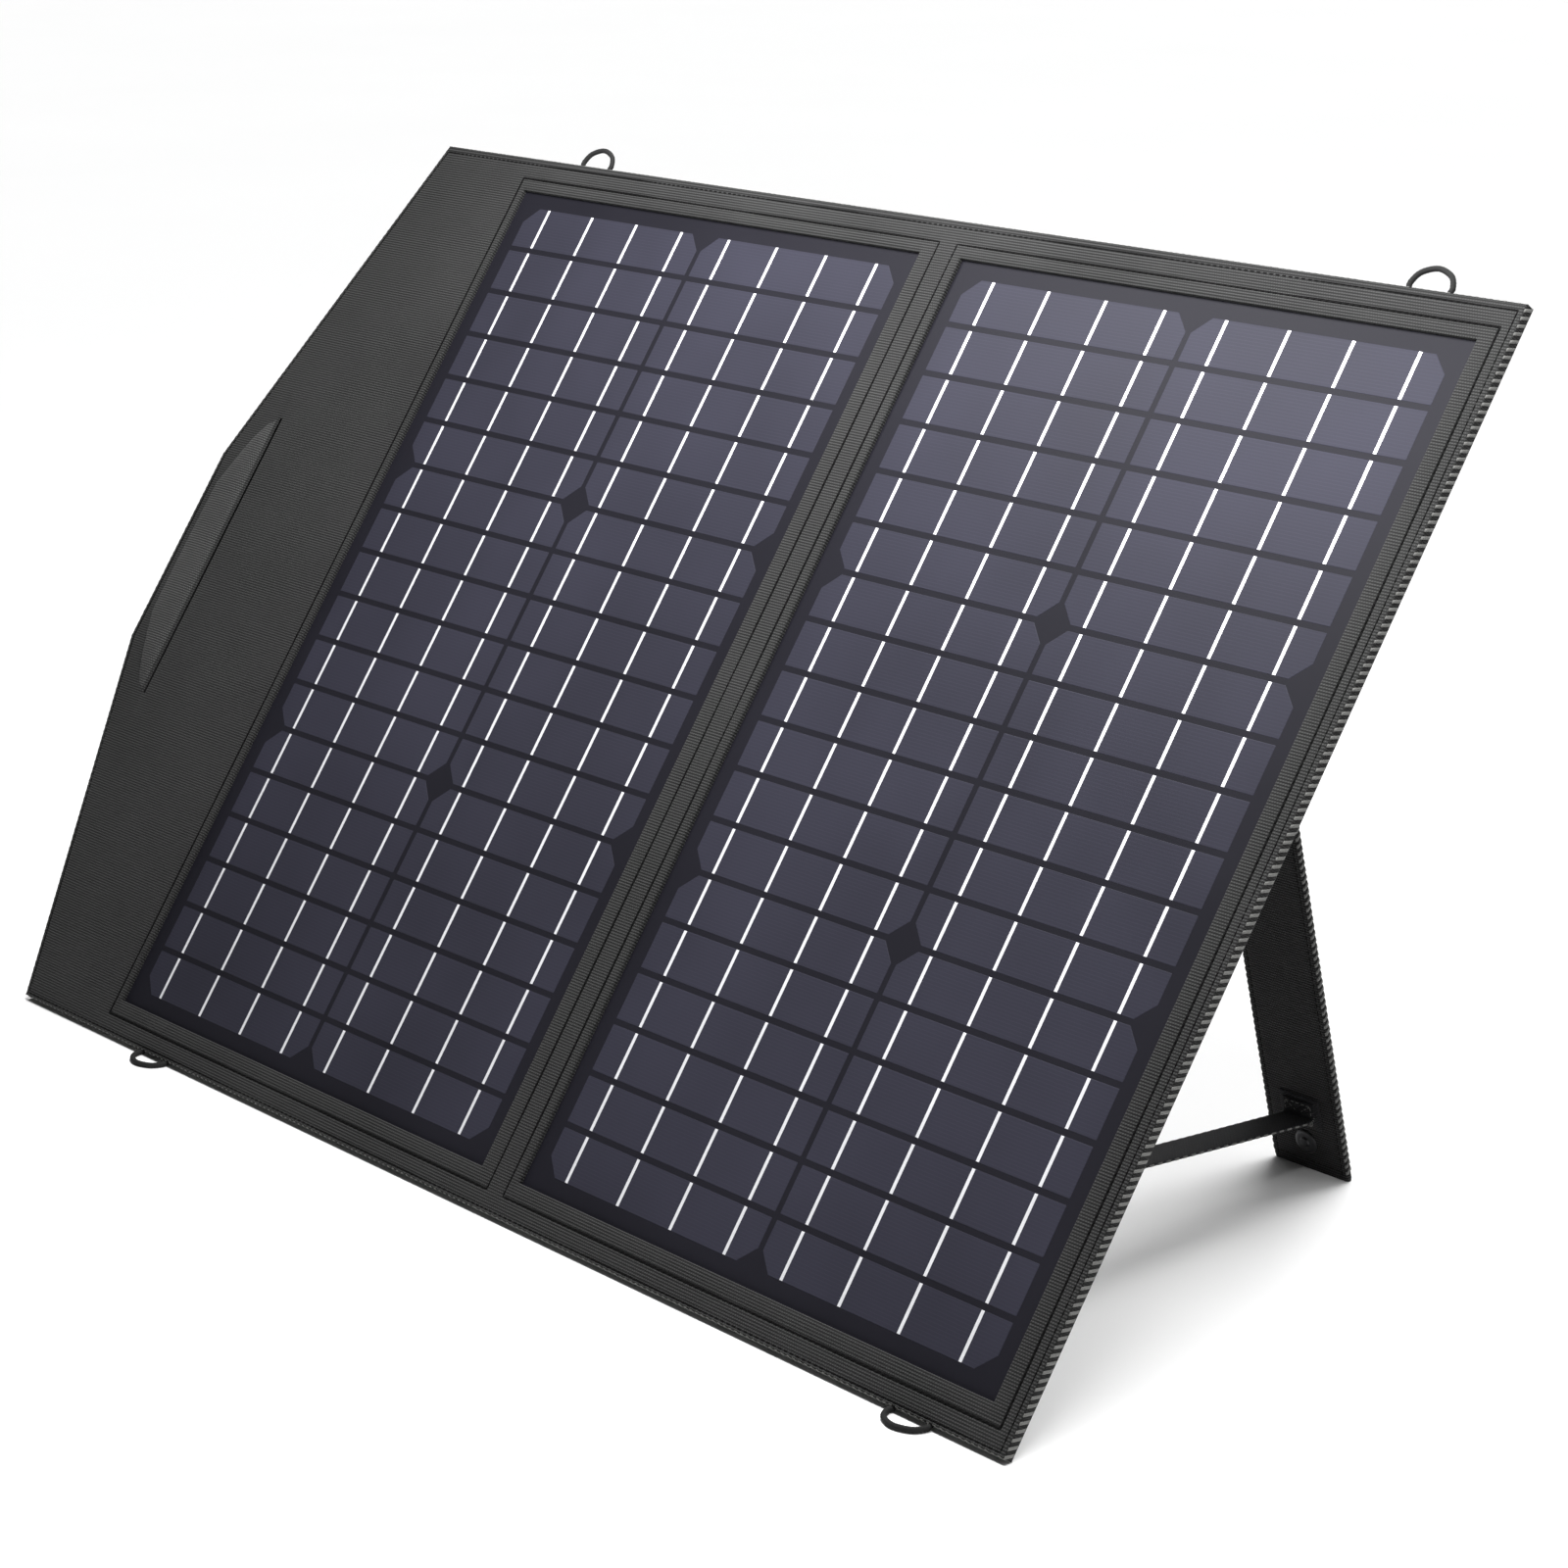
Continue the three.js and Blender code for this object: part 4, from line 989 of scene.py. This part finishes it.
SEAM_IN = 3.5  # a leg's seams, in from its edges
SNAP_DOWN = LEG_LENGTH - 18
SNAP_CAP = [
    (0, 2.15), (1.6, 2.2), (2.6, 2.05), (2.9, 1.5), (3.3, 1.15), (4.6, 1.25),
    (5.8, 1.2), (6.6, 0.9), (7.0, 0.4), (6.9, 0.0), (0, 0.0),
]
SNAP_RING = [
    (0, 0.9), (2.9, 0.9), (3.4, 1.2), (3.7, 2.0), (4.4, 2.25),
    (5.4, 2.2), (6.3, 1.7), (6.9, 0.7), (7.0, 0.0), (0, 0.0),
]


def leg_sleeve(prefix, space):
    body = f"{prefix}_leg"
    rings = []
    for y in [-1.2, -3, -6, -12] + [-y for y in spread(24, LEG_LENGTH - 14, 13)]:
        rings.append(leg_section(y, LEG_HALF, 2.0 if y < -3 else 1.6, 1 if y < -12 else 0))
    for up, scale in ((8, 1.0), (5, 0.9), (2.2, 1.0), (0.8, 0.97), (0.0, 0.85)):  # the hemmed foot
        ring = leg_section(0, LEG_HALF * (0.985 if up < 1 else 1), 2.0 * scale, 0)
        rings.append([(x, foot_y(z) + up, z) for x, _, z in ring])
    sleeve = make(f"{prefix}_leg_sleeve", *loft(rings), "leg", "fabric", space)
    put_on(edge_angle(sleeve, 60), body, f"{prefix}_leg_cover")
    runs, foot, seam = [], -LEG_LENGTH + 6, LEG_HALF - SEAM_IN
    for z, up in ((1.85, UP), (-1.85, -UP)):
        routes = [[(x, -4, z), (x, -LEG_LENGTH + 3, z)] for x in (-seam, seam)]
        routes += [[(-21, y, z), (21, y, z)] for y in (foot, -12)]
        runs += [dashes(route, up, radius=FINE_R) for route in routes]
    stitches(f"{prefix}_leg_stitches", runs, "dark_thread_and_shade", "fabric", body, space)
    for edge, name in ((-1, "inner"), (1, "outer")):
        chain = [(LEG_HALF * edge, -6), (LEG_HALF * edge, -LEG_LENGTH + 5)]
        thread_bars(f"{prefix}_leg_{name}_overlock", chain, edge, body, (-1.75, -1.2, 1.2, 1.75), 0.55, space)


def leg(side, prefix):
    space, back = leg_space(side * LEG_X), behind(side * LEG_X)
    body, wing = f"{prefix}_leg", f"{prefix}_wing"
    leg_sleeve(prefix, space)
    on_face = space @ Matrix.Translation((0, -SNAP_DOWN, 2.2))
    stud = spun(f"{prefix}_snap_cap", SNAP_CAP, "snap", "snap", on_face)
    put_on(stud, body, f"{prefix}_snap_stud")
    patch = soft_slab(f"{prefix}_leg_anchor", -13, 13, -352, -334, 2.15, 3.3, "webbing", "webbing", space)
    put_on(patch, body, f"{prefix}_leg_patch")
    tab_sheet(prefix, back)
    strap(prefix, back)
    on_back = back @ Matrix.Translation((0, HINGE.y - SNAP_DOWN, -0.2)) @ Matrix.Rotation(math.pi, 4, "X")
    socket = spun(f"{prefix}_snap_ring", SNAP_RING, "snap", "snap", on_back)
    put_on(socket, wing, f"{prefix}_snap_socket")
    anchor = soft_slab(f"{prefix}_panel_anchor", -13, 13, 62, 78, -0.1, -1.45, "webbing", "webbing", back)
    put_on(anchor, wing, f"{prefix}_strap_patch")
    for name, rows, z, up, holder, around in (
        ("anchor", (64, 70), -2.75, -UP, wing, back),
        ("leg_anchor", (-350, -338), 4.6, UP, body, space),
    ):
        runs = box_and_cross(-8.5, 8.5, *rows, z, up)
        stitches(f"{prefix}_{name}_stitches", runs, "light_thread", "webbing", holder, around)


def spun(name, profile, material, slot, space, sides=40):
    """A turned piece from (radius, z) points, the first and last of them on its axis."""
    turns = [2 * math.pi * k / sides for k in range(sides)]
    rings = [[(radius * math.cos(t), radius * math.sin(t), z) for t in turns] for radius, z in profile[1:-1]]
    points, faces = loft(rings, closed_ends=False)
    points += [(0, 0, profile[0][1]), (0, 0, profile[-1][1])]
    tip, base, last = len(points) - 2, len(points) - 1, (len(rings) - 1) * sides
    for k in range(sides):
        n = (k + 1) % sides
        faces += [(tip, k, n), (base, last + n, last + k)]
    return edge_angle(make(name, points, faces, material, slot, space), 40)


def ribbon_sheet(name, route, half, thick, material, slot, space, cross=8):
    """A flat band along a route of (y, z) points, with its ends and edges rounded."""
    route = [Vector((y, z)) for y, z in route]
    xs = [-half, -half + 0.3] + spread(-half + 1.6, half - 1.6, 2 * half / cross) + [half - 0.3, half]
    top, low, uv_rows = [], [], []
    length, travelled = sum((b - a).length for a, b in zip(route, route[1:])), 0.0
    for i, p in enumerate(route):
        before, after = route[max(0, i - 1)], route[min(len(route) - 1, i + 1)]
        along = (after - before).normalized()
        across = Vector((-along.y, along.x))
        travelled += (p - before).length if i else 0
        end = min(1, (0.3 + min(travelled, length - travelled)) / 0.8)
        for x in xs:
            lift = across * thick / 2 * min(1, 0.35 + (half - abs(x)) / 0.5) * end
            top.append((x, p.x + lift.x, p.y + lift.y))
            low.append((x, p.x - lift.x, p.y - lift.y))
            uv_rows.append((x * MM, travelled * MM))
    obj = make(name, top + low, slab_faces(len(route), len(xs)), material, slot, space)
    layer = obj.data.uv_layers[0].data
    for polygon in obj.data.polygons:
        for loop, vertex in zip(polygon.loop_indices, polygon.vertices):
            layer[loop].uv = uv_rows[vertex % len(top)]
    return obj, length


def towards(start, end, step):
    """Even steps from a start to an end, without the start."""
    count = max(1, int((end - start).length / step))
    return [start.lerp(end, k / count) for k in range(1, count + 1)]


def rounded_route(points, step=4.0):
    """Points along straight runs with their corners rounded."""
    points = [Vector(p) for p in points]
    made = [points[0]]
    for a, b, c in zip(points, points[1:], points[2:]):
        cut = min(5.0, (b - a).length / 2.2, (c - b).length / 2.2)
        start, end = b + (a - b).normalized() * cut, b + (c - b).normalized() * cut
        made += towards(made[-1], start, step)
        for k in range(1, 6):
            t = k / 5
            made.append(start * (1 - t) ** 2 + b * 2 * t * (1 - t) + end * t * t)
    return made + towards(made[-1], points[-1], step)


def on_leg(y, z):
    """A (y, z) point of the leg's space, in the panel's."""
    c, s = math.cos(LEG_OPEN), math.sin(LEG_OPEN)
    return (HINGE.y + y * c - z * s, HINGE.z + y * s + z * c)


def tab_sheet(prefix, space):
    """The cloth that hinges the leg: sewn on the panel's back, over the joint and on to the leg's outer face."""
    route = [(476.5, -0.75), (457, -1.0), (452.4, -3.0), on_leg(-4, -2.75), on_leg(-26, -2.65)]
    route = rounded_route(route, 3.0)
    obj, length = ribbon_sheet(f"{prefix}_hinge_cloth", route, LEG_HALF, 0.9, "leg", "fabric", space, 12)
    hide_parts(f"{prefix}_leg_tab")
    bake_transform(obj)
    runs = [dashes([(-22, y, -1.35), (22, y, -1.35)], -UP, radius=FINE_R) for y in (459.5, 473.5)]
    stitches(f"{prefix}_hinge_stitches", runs, "dark_thread_and_shade", "fabric", f"{prefix}_wing", space)


STRAP_HALF = 10.0
STRAP_BOW = Vector((-0.57, -0.82)) * 1.1


def strap(prefix, space):
    """The webbing stay from the panel's back to the leg, bowed a little downwards."""
    route = rounded_route([(62.5, -2.15), (71.5, -2.15), on_leg(-347.0, 4.0), on_leg(-336.5, 4.0)], 6.0)
    start, end = route[6], route[-8]  # the free run, past each sewn end and its bend
    for p in route[7:-8]:
        t = (p - start).length / (end - start).length
        p += STRAP_BOW * math.sin(math.pi * min(1, max(0, t)))
    obj, length = ribbon_sheet(f"{prefix}_stay_strap", route, STRAP_HALF, 1.3, "webbing", "webbing", space)
    put_on(obj, f"{prefix}_wing", f"{prefix}_strap")
    runs = []
    for side in (-1, 1):
        path = [(STRAP_HALF * side, q.x, q.y) for q in route[2:-2]]
        runs.append(dashes(path, Vector((side, 0, 0)), 2.4, 1.6, 0.62))
    edging = make(f"{prefix}_strap_edging", *joined(runs), "light_thread", "webbing", space)
    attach(edging, f"{prefix}_wing")
    for piece in (obj, edging):
        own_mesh(piece)


# ---- hem loops ----
LOOP_D, LOOP_HALF, LOOP_REACH, LOOP_TAIL = 3.0, 12.0, 12.5, 5.0
LOOP_SHAPE = [(1, -LOOP_TAIL), (1, 0), (1.03, 0.32 * LOOP_REACH), (0.74, 0.76 * LOOP_REACH)]
TOP_LOOP_Z, BOTTOM_LOOP_Z, FLOOR_CLEAR = 2.6, 3.8, 0.15
LOOP_SIDES, BRAID = 20, 1.9
LEFT_LOOP_X, RIGHT_LOOP_X = -302.0, 311.0


def top_loop(x, out):
    """Where a top loop's cord is, at a distance out of the hem."""
    return (x, HEIGHT + out, TOP_LOOP_Z)


def bottom_loop(x, out):
    """The same for a bottom loop, which turns forward along the floor."""
    if out <= 0:
        return (x, -out, BOTTOM_LOOP_Z)
    c, s = math.cos(TILT), math.sin(TILT)
    exit_y, exit_z = -BOTTOM_LOOP_Z * s, BOTTOM_LOOP_Z * c
    lowest = LOOP_D / 2 + FLOOR_CLEAR
    y, z = exit_y - out, lowest + (exit_z - lowest) * math.exp(-out / 2)
    return (x, y * c + z * s, z * c - y * s)


def curve_through(points, per):
    """A smooth curve through every point, with the given number of steps between them."""
    made, last = [], len(points) - 1
    for i in range(last):
        p0, p1, p2, p3 = points[max(0, i - 1)], points[i], points[i + 1], points[min(last, i + 2)]
        for t in (k / per for k in range(per)):
            square, cube = (2 * p0 - 5 * p1 + 4 * p2 - p3) * t * t, (3 * p1 - p0 - 3 * p2 + p3) * t**3
            made.append(0.5 * ((2 * p1) + (p2 - p0) * t + square + cube))
    return made + [points[-1]]


def cord_loop(name, x, at, body):
    """A braided cord from the hem, round and back into it."""
    shape = LOOP_SHAPE + [(0, LOOP_REACH)] + [(-f, out) for f, out in reversed(LOOP_SHAPE)]
    route = curve_through([Vector(at(x + f * LOOP_HALF, out)) for f, out in shape], 14)
    turns = [2 * math.pi * k / LOOP_SIDES for k in range(LOOP_SIDES)]
    rings, travelled = [], 0.0
    for i, p in enumerate(route):
        along = (route[min(len(route) - 1, i + 1)] - route[max(0, i - 1)]).normalized()
        u = (UP - along * UP.dot(along)).normalized()
        v = along.cross(u)
        travelled += (p - route[i - 1]).length if i else 0
        ring = []
        for t in turns:
            braid = math.cos(4 * t + travelled * BRAID) * math.cos(4 * t - travelled * BRAID)
            radius = LOOP_D / 2 * (0.93 + 0.09 * braid)
            ring.append(p + u * radius * math.cos(t) + v * radius * math.sin(t))
        rings.append(ring)
    points, faces = loft(rings)
    obj = make(f"{name}_cord", [tuple(p) for p in points], faces, "cord", "cord")
    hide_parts(name)
    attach(obj, body)
    return obj


# ---- grip pad ----
PAD_HALF, PAD_REACH, PAD_COLUMNS = 92.0, 27.5, 15


def grip_pad():
    """The padded lens beside the handle slot: full in the middle and drawn down to a thin soft edge."""
    ys = spread(-PAD_HALF, PAD_HALF, 3.0)
    points, low = [], []
    for y in ys:
        share = 1 - abs(y) / PAD_HALF
        lens = min(1.0, 1.9 * share) ** 0.62 * (0.94 + 0.06 * math.cos(y / PAD_HALF * math.pi / 2))
        for k in range(PAD_COLUMNS):
            t = k / (PAD_COLUMNS - 1)
            crown = math.sin(math.pi * t) ** 0.55 * smooth_step(share * 5)
            x = SLOT_X - 3.2 - PAD_REACH * lens * t
            points.append((x, HEIGHT / 2 + y, SEAM_Z + 2.35 * crown))
            low.append((x, HEIGHT / 2 + y, FRONT_Z - 0.3))
    # Its cloth is lighter than the front cloth: painted highlight on the raised pad.
    obj = make("grip_cushion", points + low, slab_faces(len(ys), PAD_COLUMNS), "grip", "foam")
    put_on(obj, "left_wing", "grip_pad")


# ---- pouch and zip ----
POUCH_X, POUCH_Y = (-452.0, -372.0), (135.0, 435.0)
POUCH_DEPTH, POUCH_ROUND = 22.3, 7.0
ZIP_X, ZIP_Y, ZIP_HALF = -436.0, (150.0, 420.0), 11.0
TOOTH_PITCH = 1.4


def pouch():
    x0, x1 = POUCH_X
    y0, y1 = POUCH_Y
    steps = [0, 0.15, 0.5, 1.2, 2.4, 4.2, 7.0, 11]
    xs = [x0 + s for s in steps] + spread(x0 + 16, x1 - 16, 6) + [x1 - s for s in reversed(steps)]
    ys = [y0 + s for s in steps] + spread(y0 + 18, y1 - 18, 8) + [y1 - s for s in reversed(steps)]

    def height(x, y):
        edge = min(x - x0, x1 - x, y - y0, y1 - y)
        round_off = math.sqrt(max(0, 1 - (1 - min(1, edge / POUCH_ROUND)) ** 2))
        crown = 0.9 * math.sin(math.pi * (x - x0) / (x1 - x0)) * math.sin(math.pi * (y - y0) / (y1 - y0))
        sag = 0.5 * ripple(x * 1.4, y * 1.1) * min(1, edge / 20)
        zip_dip = dip(x - ZIP_X, 0.5, 13)
        return -(POUCH_DEPTH - 1.2) * round_off - crown + sag * 0.5 + zip_dip - 0.1

    points = [(x, y, height(x, y)) for y in ys for x in xs]
    obj = make("pouch_cloth", points, grid_faces(len(ys), len(xs)), "back", "fabric")
    put_on(obj, "left_wing", "pouch")
    rear = rectangle_path(x0 + 8, x1 - 8, y0 + 8, y1 - 8, -POUCH_DEPTH + 0.9)
    runs = [dashes(rear, -UP, closed=True, radius=POUCH_R)]
    stitches("pouch_stitches", runs, "dark_thread_and_shade", "fabric", "left_wing")
    zip_parts()


def zip_parts():
    """The zip's tape, its closed teeth and the tape's stitches."""
    face, (low, high) = -POUCH_DEPTH - 0.35, ZIP_Y
    middle = spread(low + 4, high - 4, 12)
    route = [(y, face - 0.3) for y in (low - 4, low - 2, *middle, high + 2, high + 4)]
    space = behind(ZIP_X)
    tape, long = ribbon_sheet("zip_tape", route, ZIP_HALF, 0.5, "webbing", "zip", space)
    put_on(tape, "left_wing", "zip_chain")
    points, faces = [], []
    for k in range(int((high - low) / TOOTH_PITCH)):
        y = low + (k + 0.5) * TOOTH_PITCH
        lean = 0.55 if k % 2 else -0.55
        rings = []
        for z, inset in ((face - 0.3, 0.0), (face - 1.35, 0.0), (face - 1.75, 0.28)):
            half_x, half_y = 1.45 - inset, 0.5 - inset * 0.6
            rings.append(rectangle_path(lean - half_x, lean + half_x, y - half_y, y + half_y, z))
        add_stack(points, faces, rings, floor=True)
    teeth = make("zip_teeth", points, faces, "zip_teeth", "zip", space, smooth=False)
    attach(teeth, "left_wing")
    z = face - 0.62
    runs = [dashes([(x, low - 3, z), (x, high + 3, z)], -UP, 2.4, 0.8, 0.25) for x in (-8.5, 8.5)]
    stitches("zip_stitches", runs, "dark_thread_and_shade", "zip", "left_wing", space)


# ---- carried-over CAD nodes ----
NODE_LOOKS = {
    "board": ("left_board", "right_board", "left_leg_board", "right_leg_board"),
    "backsheet": ("left_backsheet", "right_backsheet"),
    "lead": ("left_lead", "right_lead"),
    "foam": ("flap_board",),
    "zip_metal": ("zip_slider", "zip_pull"),
    "housing": ("controller_housing", "controller_lid", "dc_socket"),
    "circuit": ("controller_circuit",),
    "bright": ("usb_socket_1", "usb_socket_2", *(f"controller_screw_{k}" for k in range(1, 5))),
}


def dress_nodes():
    for look, names in NODE_LOOKS.items():
        for name in names:
            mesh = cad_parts[name].data
            mesh.materials.clear()
            mesh.materials.append(M[look])


# ---- studio ----
WORLD_FRONT_AT, WORLD_BACK_AT = -0.3, 0.6
WORLD_FRONT, WORLD_BACK = 0.04, 0.9
HORIZON = (0.06, 0.14, WORLD_BACK, 0.0)  # a bright band from the floor up, and what it fades to
FLOOR_SIZE = 30
LIGHTS = [
    # name, kind, place, target, size (m, or degrees for a sun), power
    ("overhead_sun", "SUN", (-0.25, 1.0, 1.15), (0, 0, 0), 50, 2.9),
    ("near_key", "AREA", (0.21, -0.1, 0.8), (0.23, 0.12, 0.42), (1.0, 0.25), 12.5),
]


def studio_floor():
    s = Shader("studio_floor", roughness=0.9, Specular_IOR_Level=0.1)
    s.colour(s.mix(s.noise(s.place(), 2, 2), (0.90, 0.90, 0.90), (0.92, 0.92, 0.92)))
    mesh = bpy.data.meshes.new("studio_floor")
    corners = [(x * FLOOR_SIZE, y * FLOOR_SIZE, 0) for x, y in ((-1, -1), (1, -1), (1, 1), (-1, 1))]
    mesh.from_pydata(corners, [], [(0, 1, 2, 3)])
    mesh.materials.append(s.material)
    floor = bpy.data.objects.new("studio_floor", mesh)
    bpy.context.scene.collection.objects.link(floor)


def studio_world():
    """Bright behind the panel and along the horizon, dark in front of it."""
    world = bpy.data.worlds.new("studio")
    bpy.context.scene.world = world
    world.use_nodes = True
    nodes, links = world.node_tree.nodes, world.node_tree.links
    parts, most = nodes.new("ShaderNodeSeparateXYZ"), nodes.new("ShaderNodeMath")
    most.operation = "MAXIMUM"
    links.new(nodes.new("ShaderNodeTexCoord").outputs["Generated"], parts.inputs[0])
    ramp = (WORLD_FRONT_AT, WORLD_BACK_AT, WORLD_FRONT, WORLD_BACK)
    for index, (axis, values) in enumerate(((1, ramp), (2, HORIZON))):
        made = nodes.new("ShaderNodeMapRange")
        links.new(parts.outputs[axis], made.inputs[0])
        for i, value in enumerate(values):
            made.inputs[i + 1].default_value = value
        links.new(made.outputs[0], most.inputs[index])
    links.new(most.outputs[0], nodes["Background"].inputs["Strength"])
    nodes["Background"].inputs["Color"].default_value = (1, 1, 1, 1)


def studio():
    studio_floor()
    studio_world()
    for name, kind, place, target, size, power in LIGHTS:
        data = bpy.data.lights.new(name, kind)
        data.energy = power
        if kind == "AREA":
            data.shape, data.size, data.size_y = "RECTANGLE", *size
        else:
            data.angle = math.radians(size)
        light = bpy.data.objects.new(name, data)
        light.location = place
        light.rotation_euler = (Vector(target) - Vector(place)).to_track_quat("-Z", "Y").to_euler()
        light.visible_camera = False
        bpy.context.scene.collection.objects.link(light)


CAMERA_PLACE = (1.4786, -1.2386, 0.7438)
CAMERA_FORWARD = (-0.7137, 0.6413, -0.2816)


def camera():
    """Looks down at the panel from its right, with a long lens."""
    data = bpy.data.cameras.new("camera")
    data.lens = 86.5
    data.sensor_width = 36
    data.clip_end = 100
    cam = bpy.data.objects.new("camera", data)
    cam.location = CAMERA_PLACE
    cam.rotation_euler = Vector(CAMERA_FORWARD).to_track_quat("-Z", "Y").to_euler()
    bpy.context.scene.collection.objects.link(cam)
    bpy.context.scene.camera = cam


# ---- the scene ----
camera()
for prefix, x in (("left", LEFT_LOOP_X), ("right", RIGHT_LOOP_X)):
    cord_loop(f"{prefix}_loop_top", x, top_loop, f"{prefix}_wing")
    low_loop = cord_loop(f"{prefix}_loop_bottom", x, bottom_loop, f"{prefix}_wing")
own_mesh(low_loop)
left_front()
right_front()
middle_cloth()
middle_stitches()
for side, prefix in ((-1, "left"), (1, "right")):
    back_cloth(side, prefix)
    edge_binding(side, prefix)
    wing_stitches(side, prefix)
    laminate_pieces(side, prefix)
    leg(side, prefix)
spine_back()
grip_pad()
pouch()
dress_nodes()
studio()
bpy.context.scene.view_settings.view_transform = "Standard"
